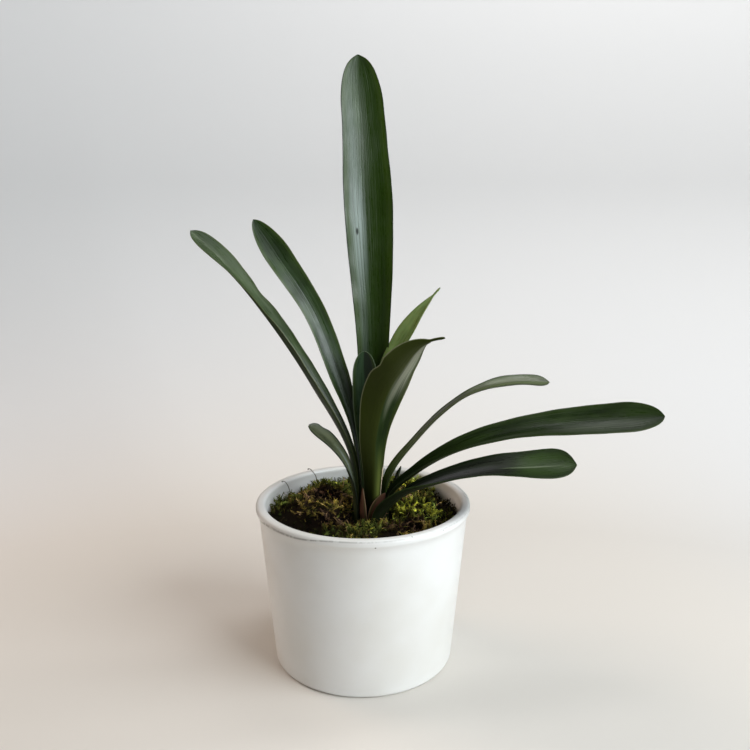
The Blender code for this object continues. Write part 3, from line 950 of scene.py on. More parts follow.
@dataclass(frozen=True)
class MossBed:
    """The moss on the soil: four cushions round the crown, each a mat with shoots on it."""

    cushions: tuple[Cushion, ...] = (
        Cushion("moss_left", 118.0, 246.0), Cushion("moss_front", 250.0, 313.0),
        Cushion("moss_right", 317.0, 385.0), Cushion("moss_back", 389.0, 474.0))
    # x, y, rise and spread of each mound
    mounds: tuple[tuple[float, float, float, float], ...] = (
        (-26, 15, 19, 17), (-48, -2, 9, 14), (-26, -14, 7, 13), (-16, -46, 5, 16), (12, -46, 6, 14),
        (38, -4, 10, 17), (32, -34, 5, 13), (0, 46, 10, 18), (36, 40, 9, 16),
        (59, 14, 7, 13))
    # patches with light far below 1 paint the shade of the dark pockets, those above 1 paint light on
    # the moss
    patches: tuple[MossPatch, ...] = (
        MossPatch(-28, 22, 7, 0.94, star=0.85, thread=0.05, light=1.4),
        MossPatch(-12, 23, 6, 0.90, star=0.7, light=1.2),
        MossPatch(-28, 8, 9, 0.15, cover=0.40, thread=0.85),
        MossPatch(-47, 30, 9, 0.66, cover=0.7, light=0.7),
        MossPatch(-58, 14, 8, 0.72, light=0.8),
        MossPatch(-58, -8, 9, 0.64, cover=0.40, light=0.35),
        MossPatch(-41, -8, 5, 0.52, thread=0.4, light=1.1),
        MossPatch(-26, -4, 7, 0.68, thread=0.3, light=1.7),
        MossPatch(-16, 0, 5, 0.56, thread=0.3),
        MossPatch(-10, 14, 6, 0.42, thread=0.4, light=1.1),
        MossPatch(-24, -18, 8, 0.26, cover=0.5, thread=0.5, light=0.7),
        MossPatch(-11, -15, 7, 0.24, cover=0.4, light=0.5),
        MossPatch(-49, -19, 10, 0.62, cover=0.35, light=0.06),
        MossPatch(-39, -26, 10, 0.60, cover=0.35, light=0.06),
        MossPatch(-24, -40, 8, 0.78, cover=0.55, light=0.4),
        MossPatch(-9, -42, 6, 0.82, cover=0.65, light=0.42),
        MossPatch(3, -36, 6, 0.82, cover=0.8, light=0.62),
        MossPatch(15, -48, 7, 0.70, cover=0.35, light=0.2),
        MossPatch(28, -32, 8, 0.24, cover=0.42, thread=0.4, light=0.6),
        MossPatch(35, -21, 5, 0.32, cover=0.6, light=0.7),
        MossPatch(28, -9, 7, 0.96, light=1.2),
        MossPatch(41, -12, 7, 0.98, light=1.3),
        MossPatch(38, 22, 8, 0.44, thread=0.35, light=1.5),
        MossPatch(53, 22, 10, 0.60, cover=0.45, light=0.04),
        MossPatch(60, 9, 9, 0.60, cover=0.45, light=0.04),
        MossPatch(56, -10, 6, 0.78, cover=0.6, light=0.9),
        MossPatch(33, 40, 8, 0.95, light=1.15),
        MossPatch(45, 33, 6, 0.90, light=1.1),
        MossPatch(-2, 48, 14, 0.80),
        MossPatch(-34, 48, 12, 0.66, light=0.8),
    )
    plain: MossPatch = MossPatch(0, 0, 0, 0.6)  # what grows between the patches
    plain_weight: float = 0.08
    inner_radius: float = 18.6
    outer_radius: float = 66.7
    floor: float = 101.8
    edge: float = 1.2
    thickness: float = 2.5
    corner_power: float = 5.0
    mat_drop: float = 2.2
    mat_steps: int = 72
    mat_bumps: Pair = (0.22, 0.9)  # how often they come in a millimetre, and how far they rise
    mat_rim: float = 0.4
    mat_hue: float = 0.55  # as a share of its shoots' hue
    mat_light: Pair = (0.01, 0.06)  # painted shade that keeps the mat nearly black: its light where no moss covers it, and what full cover adds
    wall_radius: float = 67.2
    shoots_per_area: float = 0.36
    level_share: float = 0.6  # share of the shoots sown that a level place keeps, steeper ones more
    sown_across: float = 1.03  # how far past its outline a cushion is sown
    sown_along: float = 2.01
    foot_depth: float = 0.4
    sizes: Pair = (4.5, 10.5)
    upward: float = 0.18
    slope_step: float = 0.004
    hue_spread: float = 0.07
    lights: Pair = (0.14, 2.3)  # light of the darkest shoots, and what the brightest add
    dried_share: float = 0.6  # share of the threads that are dry
    dried_hues: Pair = (0.24, 0.5)
    foot_light: float = 0.08  # light of a shoot at its foot, in painted shade, and what its tip adds
    tip_light: float = 1.1
    seed: int = 11
    finish: MossFinish = MossFinish()

    def place(self, cushion: Cushion, across: Array, along: Array) -> tuple[Array, Array]:
        """Finds where points of a cushion lie.

        Args:
            cushion: The cushion.
            across: Share of the way between its sides, from -1 to 1.
            along: Share of the way from the crown to the pot's wall, from -1 to 1.

        Returns:
            x and y of each point.
        """
        direction = cushion.direction(across)
        ray_x, ray_y = np.cos(direction), np.sin(direction)
        towards = CROWN.x * ray_x + CROWN.y * ray_y
        off_axis = CROWN.x ** 2 + CROWN.y ** 2
        wall = np.sqrt(towards ** 2 + self.outer_radius ** 2 - off_axis) - towards
        reach = self.inner_radius + (wall - self.inner_radius) * (along + 1) / 2
        return CROWN.x + reach * ray_x, CROWN.y + reach * ray_y

    def rise(self, x: Array, y: Array) -> Array:
        """Reads how far the mounds rise.

        Args:
            x: Places to the right.
            y: Places to the back.

        Returns:
            The rise at each place.
        """
        height = np.full(np.shape(x), self.thickness)
        for mound_x, mound_y, rise, spread in self.mounds:
            height = height + rise * np.exp(-((x - mound_x) ** 2 + (y - mound_y) ** 2) / spread ** 2)
        return height

    def mixed(self, x: Array, y: Array, field: str) -> Array:
        """Blends a value of the patches round each place.

        Args:
            x: Places to the right.
            y: Places to the back.
            field: The value's name.

        Returns:
            The value at each place.
        """
        total = np.full(np.shape(x), self.plain_weight * getattr(self.plain, field))
        weight = np.full(np.shape(x), self.plain_weight)
        for patch in self.patches:
            near = np.exp(-((x - patch.x) ** 2 + (y - patch.y) ** 2) / patch.spread ** 2)
            total = total + near * getattr(patch, field)
            weight = weight + near
        return total / weight

    def top(self, x: Array, y: Array, ring: Array) -> Array:
        """Height of the mat's top, which sinks where little moss covers the soil.

        Args:
            x: Places to the right.
            y: Places to the back.
            ring: 0 in the cushion's middle and 1 on its outline.

        Returns:
            The height at each place.
        """
        dome = np.sqrt(np.clip(1 - ring ** 4, 0, 1))
        cover = self.mixed(x, y, "cover")
        sunk = self.rise(x, y) * (0.35 + 0.65 * cover) - self.mat_drop
        return self.floor + self.edge + dome * np.maximum(sunk, 0.0)

    def surface(self, cushion: Cushion, across: Array, along: Array) -> tuple[Array, ...]:
        """Place on a cushion's mat, with across and along from about -1 to 1."""
        x, y = self.place(cushion, across, along)
        return x, y, self.top(x, y, np.clip(self.ring_of(across, along), 0, 1))

    def ring_of(self, across: Array, along: Array) -> Array:
        """0 in a cushion's middle and 1 on its outline."""
        power = self.corner_power
        return (np.abs(across) ** power + np.abs(along) ** power) ** (1 / power)

    def build(self) -> None:
        """Builds the mat and the shoots of each cushion."""
        mat_material = self.finish.material("moss_mat")
        shoot_material = self.finish.material("moss_shoots")
        models = [shoot.model() for shoot in SHOOTS]
        for number, cushion in enumerate(self.cushions):
            self.build_mat(cushion, mat_material)
            rng = np.random.default_rng(self.seed + number)
            self.build_shoots(cushion, models, rng, shoot_material)

    def build_mat(self, cushion: Cushion, material: bpy.types.Material) -> None:
        """Shapes a grid into the matted top of one cushion and closes it below.

        Args:
            cushion: The cushion.
            material: The moss material.
        """
        deselect()
        bpy.ops.mesh.primitive_grid_add(x_subdivisions=self.mat_steps, y_subdivisions=self.mat_steps,
                                        size=2.0)
        mat = bpy.context.object
        flat = coordinates(mat.data)[:, :2]
        ring = np.abs(flat).max(axis=1)
        square = np.maximum(self.ring_of(flat[:, 0], flat[:, 1]), 1e-6)
        across, along = ring * flat[:, 0] / square, ring * flat[:, 1] / square
        x, y = self.place(cushion, across, along)
        z = self.top(x, y, ring)
        often, deep = self.mat_bumps
        rough = np.array([noise.fractal(Vector((a * often, b * often, 1.0)), 0.9, 2.1, 4)
                          for a, b in zip(x, y)])
        z = np.maximum(z + deep * rough * (1 - ring ** 6), self.floor + self.mat_rim)
        place_vertices(mat.data, np.stack([x, y, z], axis=1) * MM)
        bpy.ops.object.mode_set(mode="EDIT")
        bpy.ops.mesh.select_all(action="SELECT")
        bpy.ops.mesh.extrude_region_move(TRANSFORM_OT_translate={"value": (0.0, 0.0, -1.0)})
        bpy.ops.transform.resize(value=(1.0, 1.0, 0.0), center_override=(0.0, 0.0, self.floor * MM))
        bpy.ops.mesh.select_all(action="SELECT")
        bpy.ops.mesh.normals_make_consistent(inside=False)
        bpy.ops.object.mode_set(mode="OBJECT")
        places = coordinates(mat.data) / MM
        hue = self.mat_hue * self.mixed(places[:, 0], places[:, 1], "hue")
        store(mat.data, "moss_hue", hue)
        cover = self.mixed(places[:, 0], places[:, 1], "cover")
        bare_and_shadow, covered = self.mat_light
        store(mat.data, "moss_light", bare_and_shadow + covered * cover ** 2)
        take_up(mat)
        bpy.ops.object.shade_smooth()
        mat.data.materials.append(material)
        settle(mat, f"{cushion.node}_mat", [cushion.node])

    def build_shoots(self, cushion: Cushion, models: Sequence[tuple[Array, Array, Array]],
                     rng: np.random.Generator, material: bpy.types.Material) -> None:
        """Sets copies of the modelled shoots all over one cushion.

        Args:
            cushion: The cushion.
            models: The modelled shoots, as SHOOTS lists them.
            rng: The cushion's own random numbers.
            material: The moss material.
        """
        feet, normal, cover = self.sow(cushion, rng)
        kind, model = self.choose_models(feet, rng)
        direction, size = self.grow(feet, normal, cover, kind, rng)
        spin = rng.normal(0, 1, (len(feet), 3))
        first_axis = unit(np.cross(direction, spin))
        turns = np.stack([first_axis, np.cross(direction, first_axis), direction], axis=2)
        hue, light = self.tints(feet, kind, rng)
        parts = []
        for index, (points, triangles, share) in enumerate(models):
            chosen = model == index
            copies = scattered(points, triangles, feet[chosen] * MM, turns[chosen], size[chosen] * MM)
            from_axis = np.hypot(copies[0][:, 0], copies[0][:, 1])
            copies[0][:, :2] *= np.minimum(1.0, self.wall_radius * MM / from_axis)[:, None]
            # painted shade at each shoot's foot, lighter towards its tip
            fade = (self.foot_light + self.tip_light * share)[None] * light[chosen][:, None]
            parts.append((*copies, np.repeat(hue[chosen], len(points)), fade.ravel()))
        offsets = np.cumsum([0] + [len(part[0]) for part in parts[:-1]])
        piece = mesh_piece(f"{cushion.node}_shoots", np.concatenate([part[0] for part in parts]),
                           np.concatenate([part[1] + offset for part, offset in zip(parts, offsets)]))
        store(piece.data, "moss_hue", np.clip(np.concatenate([part[2] for part in parts]), 0, 1))
        store(piece.data, "moss_light", np.concatenate([part[3] for part in parts]))
        piece.data.materials.append(material)
        settle(piece, f"{cushion.node}_shoots")

    def sow(self, cushion: Cushion, rng: np.random.Generator) -> tuple[Array, Array, Array]:
        """Scatters the feet of the shoots evenly over the slopes of one cushion.

        Args:
            cushion: The cushion.
            rng: The cushion's own random numbers.

        Returns:
            Place of each foot, the mat's normal there and how much moss covers it.
        """
        angle = math.radians(cushion.last - cushion.first)
        area = angle / 2 * (self.outer_radius ** 2 - self.inner_radius ** 2)
        count = int(area * self.shoots_per_area / self.level_share)
        across = rng.uniform(-self.sown_across, self.sown_across, count)
        low = self.inner_radius / self.outer_radius
        along = (np.sqrt(rng.uniform(low ** 2, 1.0, count)) - low) / (1 - low)
        along = along * self.sown_along - self.sown_across
        here, beside, beyond = (
            np.stack(self.surface(cushion, across + step_across, along + step_along), axis=1)
            for step_across, step_along in ((0.0, 0.0), (self.slope_step, 0.0), (0.0, self.slope_step)))
        normal = unit(np.cross(beyond - here, beside - here))
        normal *= np.sign(normal[:, 2:])
        cover = self.mixed(here[:, 0], here[:, 1], "cover")
        steeper = np.clip(self.level_share / np.maximum(normal[:, 2], 0.2), 0.0, 1.0)
        keep = rng.uniform(0, 1, count) < cover ** 1.6 * steeper
        feet = here[keep] - (0.0, 0.0, self.foot_depth)
        return feet, normal[keep], cover[keep]

    def choose_models(self, feet: Array, rng: np.random.Generator) -> tuple[Array, Array]:
        """Chooses each shoot's growth from the patches round it, and one of its models.

        Args:
            feet: Place of each foot.
            rng: The cushion's own random numbers.

        Returns:
            Each shoot's growth and its model's place in SHOOTS.
        """
        star = self.mixed(feet[:, 0], feet[:, 1], "star")
        thread = self.mixed(feet[:, 0], feet[:, 1], "thread")
        pick = rng.uniform(0, 1, len(feet))
        others = np.where(pick < star + thread, Growth.THREAD, Growth.FEATHER)
        kind = np.where(pick < star, Growth.STAR, others)
        draws = [rng.integers(*habit.models, len(feet)) for habit in HABITS]
        return kind, np.choose(kind, draws)

    def grow(self, feet: Array, normal: Array, cover: Array, kind: Array,
             rng: np.random.Generator) -> tuple[Array, Array]:
        """Leans the shoots every way, but not through the pot's wall.

        Args:
            feet: Place of each foot.
            normal: The mat's normal at each foot.
            cover: How much moss covers it.
            kind: Each shoot's growth.
            rng: The cushion's own random numbers.

        Returns:
            Each shoot's direction and size.
        """
        lift, wild, bulk = (np.array([getattr(habit, field) for habit in HABITS])[kind]
                            for field in ("lift", "wild", "size"))
        lean = rng.normal(0, 1, (len(feet), 3)) * wild[:, None]
        direction = unit(normal * lift[:, None] + lean + np.array([0.0, 0.0, self.upward]))
        size = rng.uniform(*self.sizes, len(feet)) * (bulk * (0.55 + 0.45 * cover))
        reach = np.hypot(feet[:, 0], feet[:, 1])
        outward = np.stack([feet[:, 0] / reach, feet[:, 1] / reach, np.zeros(len(feet))], axis=1)
        beyond = reach + size * np.sum(direction * outward, axis=1) - self.outer_radius
        push = np.clip(beyond / size, 0, None)[:, None]
        return unit(direction - (push + 0.15 * (push > 0)) * outward), size

    def tints(self, feet: Array, kind: Array, rng: np.random.Generator) -> tuple[Array, Array]:
        """Colours each shoot by the patches round it, and a few threads as dry ones.

        Args:
            feet: Place of each foot.
            kind: Each shoot's growth.
            rng: The cushion's own random numbers.

        Returns:
            Each shoot's hue, and its light with the painted light and shade of its patch and of thin
            cover.
        """
        x, y, count = feet[:, 0], feet[:, 1], len(feet)
        hue = self.mixed(x, y, "hue") + rng.normal(0, self.hue_spread, count)
        dried = (kind == Growth.THREAD) & (rng.uniform(0, 1, count) < self.dried_share)
        hue = np.where(dried, rng.uniform(*self.dried_hues, count), hue)
        darkest, added = self.lights
        light = (darkest + added * rng.uniform(0, 1, count) ** 2.0) * self.mixed(x, y, "light")
        brighter = np.array([habit.light for habit in HABITS])[kind]
        # thin cover gets painted shade
        return hue, light * (0.3 + 0.7 * self.mixed(x, y, "cover")) * brighter


@dataclass(frozen=True)
class StalkFinish:
    """Dry olive brown thread, darker at its curled tip."""

    stem: Colour = (0.16, 0.12, 0.065)
    tip: Colour = (0.045, 0.045, 0.02)

    def material(self, low: float, high: float) -> bpy.types.Material:
        """Mixes the stalk's skin, which is dark towards its tip.

        Args:
            low: Height at which it starts to darken.
            high: Height from which it is dark.

        Returns:
            The material.
        """
        mix = Recipe("dry_stalk", self.stem)
        place = mix.object_place()
        _, _, z = mix.split(place)
        mix.lay(mix.step(z, (low, high)), self.tip)
        mix.lay(mix.remap(mix.speckle(place, 800.0), 0.4, 0.7, 0.0, 0.5), self.tip)
        return mix.finish(0.6)


@dataclass(frozen=True)
class DryStalk:
    """A thin dried stalk that stands out of the moss and curls over at its tip."""

    name: str
    points: tuple[Place, ...]
    radii: Pair = (0.34, 0.22)
    tip_radius: float = 0.5
    sides: int = 7
    smooth_steps: int = 4
    finish: StalkFinish = StalkFinish()

    def build(self) -> None:
        """Draws the stalk out of a ring, from its foot to its thick curled tip."""
        keys = np.linspace(0, 1, len(self.points))
        steps = np.linspace(0, 1, self.smooth_steps * (len(self.points) - 1) + 1)
        path = smooth_through(keys, np.array(self.points), steps) * MM
        radii = (*self.radii, self.tip_radius, 0.5 * self.tip_radius)
        thickness = np.interp(steps, (0.0, 0.8, 0.93, 1.0), radii) * MM
        deselect()
        bpy.ops.mesh.primitive_circle_add(vertices=self.sides, radius=float(thickness[0]),
                                          fill_type="NGON", location=path[0])
        stalk = bpy.context.object
        bpy.ops.object.transform_apply(location=True)
        bpy.ops.object.mode_set(mode="EDIT")
        bpy.ops.mesh.select_all(action="SELECT")
        heading = Vector((0.0, 0.0, 1.0))
        for start, end, old, new in zip(path, path[1:], thickness, thickness[1:]):
            bpy.ops.mesh.extrude_region_move(TRANSFORM_OT_translate={"value": end - start})
            bpy.ops.transform.resize(value=(new / old,) * 3, center_override=end)
            turned = Vector(end - start).normalized()
            axis = heading.cross(turned)
            if axis.length > 1e-4:
                self.turn_ring(stalk, end, heading.rotation_difference(turned))
            heading = turned
        bpy.ops.mesh.select_all(action="SELECT")
        bpy.ops.mesh.normals_make_consistent(inside=False)
        bpy.ops.object.mode_set(mode="OBJECT")
        take_up(stalk)
        bpy.ops.object.shade_smooth_by_angle(angle=math.radians(50))
        top = float((path[:, 2] / MM).max())
        stalk.data.materials.append(self.finish.material(top - 4.0, top))
        settle(stalk, self.name)

    @staticmethod
    def turn_ring(stalk: bpy.types.Object, centre: Array, turn: Quaternion) -> None:
        """Turns the selected ring.

        Args:
            stalk: The stalk, in edit mode.
            centre: The ring's centre.
            turn: The turn.
        """
        shape = bmesh.from_edit_mesh(stalk.data)
        middle = Vector(centre)
        for point in shape.verts:
            if point.select:
                point.co = middle + turn @ (point.co - middle)
        bmesh.update_edit_mesh(stalk.data)


STALKS = (
    DryStalk("dry_stalk_tall", (
        (-33.9, 16, 122.6), (-34.3, 16, 125.9), (-35.3, 15.5, 128.3), (-37.1, 15, 130.9),
        (-38.2, 14.5, 132.3), (-39.4, 14, 132.8), (-39.9, 14, 132))),
    DryStalk("dry_stalk_side", (
        (-54.9, 33, 104.7), (-55, 32, 108.1), (-55.8, 30, 112.6), (-56.9, 28.5, 116),
        (-58.1, 27, 118.2), (-59.5, 26, 119), (-60.3, 25.5, 118.5))),
)


def store(mesh: bpy.types.Mesh, name: str, values: Array) -> None:
    """Stores one number on each vertex of a mesh."""
    layer = mesh.attributes.new(name, "FLOAT", "POINT")
    layer.data.foreach_set("value", np.asarray(values, dtype=np.float32))


def smooth_through(keys: Array, values: Array, places: Array) -> Array:
    """Cubic curve through values at keys, with slopes taken from the neighbours.

    Args:
        keys: Where the values stand, rising.
        values: One row of numbers for each key.
        places: Where the curve is read.

    Returns:
        One row of numbers for each place.
    """
    steps = np.diff(keys)
    slopes = np.diff(values, axis=0) / steps[:, None]
    tangents = np.zeros_like(values)
    before, after = steps[:-1, None], steps[1:, None]
    tangents[1:-1] = (slopes[:-1] * after + slopes[1:] * before) / (before + after)
    tangents[0] = 1.5 * slopes[0] - 0.5 * tangents[1]
    tangents[-1] = 1.5 * slopes[-1] - 0.5 * tangents[-2]
    index = np.clip(np.searchsorted(keys, places, side="right") - 1, 0, len(keys) - 2)
    step = steps[index][:, None]
    t = (places - keys[index])[:, None] / step
    return ((2 * t ** 3 - 3 * t ** 2 + 1) * values[index]
            + (t ** 3 - 2 * t ** 2 + t) * step * tangents[index]
            + (3 * t ** 2 - 2 * t ** 3) * values[index + 1]
            + (t ** 3 - t ** 2) * step * tangents[index + 1])


def unit(vectors: Array) -> Array:
    """Each row of an array, made one long."""
    return vectors / np.linalg.norm(vectors, axis=1)[:, None]


class BladeRecipe(Recipe):
    """A leaf's material, which reads the place on the blade and noise in lines along it."""

    def __init__(self, name: str, ground: Colour, under: bool, width: float, length: float) -> None:
        """Reads the place on the blade and draws the lines.

        Args:
            name: The material's name.
            ground: The colour that the others are laid over.
            under: True for the duller and paler underside.
            width: Width of the blade.
            length: Length of the blade.
        """
        super().__init__(name, ground)
        self.under, self.width, self.length = under, width, length
        self.across, self.along, _ = self.split(self.uv("blade"))
        _, self.run, _ = self.split(self.uv("size"))
        self.from_middle = self.gap(self.across, 0.5)
        self.streak = self.lines(1.1, 0.016)
        self.fine = self.lines(0.45, 0.03)
        self.broad = self.lines(5.0, 0.012)

    def lines(self, line: float, stretch: float, detail: float = 2.0, rough: float = 0.6) -> Socket:
        """Noise in lines, line millimetres wide and 1 / stretch millimetres long."""
        place = self.join(self.times(self.across, self.width / line), self.times(self.run, stretch))
        return self.speckle(place, 1.0, detail, rough)


@dataclass(frozen=True)
class LeafFinish:
    """Waxy strap leaf: fine lengthwise veins, a thin margin and a tinted foot, with painted light and
    shade: patches of painted sheen, painted shade towards the foot, and one half tinted for how the
    light falls on it.
    """

    name: str
    deep: Colour = (0.009, 0.024, 0.004)
    light: Colour = (0.024, 0.052, 0.011)
    margin: Colour = (0.030, 0.050, 0.012)
    margin_width: float = 0.6
    band: Colour = (0.030, 0.055, 0.008)
    # foot: painted shade at the foot of most leaves and of the scales, a painted highlight at OLIVE's
    # foot, and UPPER's own green
    foot: Colour = (0.012, 0.022, 0.005)
    foot_reach: float = 0.12
    foot_band: Pair = (0.5, 1.0)  # middle of the foot's tint and its reach across
    shade_reach: float = 0.30
    roughness: float = 0.30
    gloss: float = 0.6
    gloss_under: float = 0.2
    vein_depth: float = 0.22
    rib_depth: float = 0.3
    glow: float = 0.0
    mottle: float = 0.35
    under: Colour = (0.022, 0.030, 0.008)
    painted_sheen: Colour = (0.13, 0.14, 0.115)
    # share across, share along, both half sizes and strength of each patch of painted sheen, a painted
    # highlight
    painted_sheens: tuple[tuple[float, float, float, float, float], ...] = ()
    tip: Colour | None = None
    tip_from: float = 0.68
    # rib: painted light and shade along the midrib, a painted highlight on LOW's and painted shade in
    # the crease of UPPER's
    rib: Colour | None = None
    rib_from: float = 0.6
    rib_strength: float = 0.8
    painted_half_light: Colour | None = None  # painted light and shade: tint of the half below the middle of the width, for how the light falls on that half
    hem_and_edge_shade: Colour | None = None  # papery margin at OLIVE's foot, and painted shade along most of one margin of PALE
    hem_reach: Pair = (0.04, 0.27)
    scar: Colour = (0.004, 0.007, 0.003)
    # share across, share along and radius of each dark spot
    scars: tuple[tuple[float, float, float], ...] = ()

    def material(self, under: bool, width: float, length: float) -> bpy.types.Material:
        """The finish's material.

        Args:
            under: True for the duller and paler underside.
            width: Width of the blade.
            length: Length of the blade.

        Returns:
            The material.
        """
        side = "under" if under else "upper"
        mix = BladeRecipe(f"leaf_{self.name}_{side}", self.deep, under, width, length)
        self.grow_flesh(mix)
        self.paint_sheens(mix)
        self.tint_margins(mix)
        self.tint_foot(mix)
        spots = self.find_scars(mix)
        if self.scars:
            mix.lay(spots, self.scar)
        rib = mix.remap(mix.from_middle, 0.04, 0.0)
        # painted light and shade along the midrib
        if self.rib:
            mix.lay(mix.times(rib, mix.remap(mix.along, self.rib_from, self.rib_from + 0.12),
                              mix.remap(mix.along, 0.97, 0.84, 0.0, self.rib_strength)), self.rib)
        height = mix.plus(mix.times(mix.fine, 0.35), mix.streak)
        height = mix.plus(height, mix.times(rib, self.rib_depth * (1.6 if under else -1.0)))
        mix.relief(height, self.vein_depth * MM, 0.8)
        dull = self.roughness + (0.1 if under else 0.0)
        grain = mix.plus(mix.times(mix.streak, 0.5), mix.times(mix.lines(3.0, 0.09, 3.0, 0.65), 0.5))
        wax = mix.remap(grain, 0.35, 0.68, dull - 0.06, dull + 0.20)
        return mix.finish(mix.plus(wax, mix.times(spots, 0.3)),
                          Specular_IOR_Level=self.gloss_under if under else self.gloss,
                          Subsurface_Weight=self.glow, Subsurface_Scale=2.0 * MM)

    def grow_flesh(self, mix: BladeRecipe) -> None:
        """Streaks the blade's green along it and mottles it.

        Args:
            mix: The leaf's recipe.
        """
        broad = mix.remap(mix.broad, 0.3, 0.7, 0.0, 0.6)
        streak = mix.remap(mix.streak, 0.3, 0.7, 0.0, 0.4)
        mix.lay(mix.plus(broad, streak), self.light)
        mix.lay(mix.remap(mix.fine, 0.55, 0.75, 0.0, 0.2), self.light)
        if mix.under:
            mix.lay(0.6, self.under)
        if self.tip:
            mix.lay(mix.remap(mix.along, self.tip_from, self.tip_from + 0.15), self.tip)
        cloud = mix.lines(16.0, 0.028, 3.0)
        mix.shade(mix.remap(cloud, 0.3, 0.7, 1 - self.mottle, 1 + self.mottle))

    def paint_sheens(self, mix: BladeRecipe) -> None:
        """Paints the soft pale patches of sheen, painted highlights that stand in for the light's
        reflection in the wax.

        Args:
            mix: The leaf's recipe.
        """
        for across, along, reach, run_reach, strength in self.painted_sheens:
            offset = mix.join(mix.over(mix.minus(mix.across, across), reach),
                              mix.over(mix.minus(mix.along, along), run_reach))
            near = mix.remap(mix.distance(offset, MIDDLE), 1.0, 0.1, 0.0, strength)
            mix.lay(mix.times(near, mix.remap(mix.streak, 0.35, 0.6, 0.45, 1.0)), self.painted_sheen)

    def tint_margins(self, mix: BladeRecipe) -> None:
        """Paints light and shade on one half, and tints the bands beside the margins, and the margins.

        Args:
            mix: The leaf's recipe.
        """
        if self.painted_half_light:
            uneven = mix.plus(mix.across, mix.remap(mix.broad, 0.3, 0.7, -0.03, 0.03))
            mix.lay(mix.times(mix.remap(uneven, 0.56, 0.49), 0.85), self.painted_half_light)
        outer = mix.remap(mix.from_middle, 0.30, 0.46)
        mix.lay(mix.times(outer, mix.remap(mix.broad, 0.35, 0.6, 0.3, 1.0)), self.band)
        margin = self.margin_width / mix.width
        mix.lay(mix.remap(mix.from_middle, 0.5 - 1.4 * margin, 0.5 - 0.5 * margin), self.margin)

    def tint_foot(self, mix: BladeRecipe) -> None:
        """Paints shade on the blade towards its foot, tints the foot (painted shade on most leaves, a
        painted highlight on OLIVE's), and adds the papery margin at OLIVE's foot and the painted shade
        along PALE's margin.

        Args:
            mix: The leaf's recipe.
        """
        mix.shade(mix.remap(mix.along, 0.02, self.shade_reach, 0.22, 1.0))
        middle, reach = self.foot_band
        mix.lay(mix.times(mix.remap(mix.along, self.foot_reach, 0.02),
                          mix.remap(mix.gap(mix.across, middle), reach, 0.0)), self.foot)
        if self.hem_and_edge_shade:
            start, end = self.hem_reach
            mix.lay(mix.times(mix.remap(mix.along, start, start + 0.02),
                              mix.remap(mix.along, end, end - 0.02), mix.remap(mix.across, 0.90, 0.93)),
                    self.hem_and_edge_shade)

    def find_scars(self, mix: BladeRecipe) -> Value:
        """Finds the dark spots.

        Args:
            mix: The leaf's recipe.

        Returns:
            Nearly 1 in the spots and 0 elsewhere.
        """
        spots: Value = 0.0
        for across, along, size in self.scars:
            offset = mix.join(mix.times(mix.minus(mix.across, across), mix.width),
                              mix.times(mix.minus(mix.along, along), 0.4 * mix.length))
            spot = mix.remap(mix.distance(offset, MIDDLE), size, 0.4 * size, 0.0, 0.9)
            spots = mix.math("MAXIMUM", spots, spot)
        return spots


@dataclass(frozen=True)
class BladeRows:
    """The rows of a blade's grid from its foot to its tip, with one row of numbers for each."""

    share: Array  # of the length
    distance: Array  # along the midrib
    points: Array
    across: Array  # direction across the blade
    up: Array  # direction off the upper face
    half_width: Array


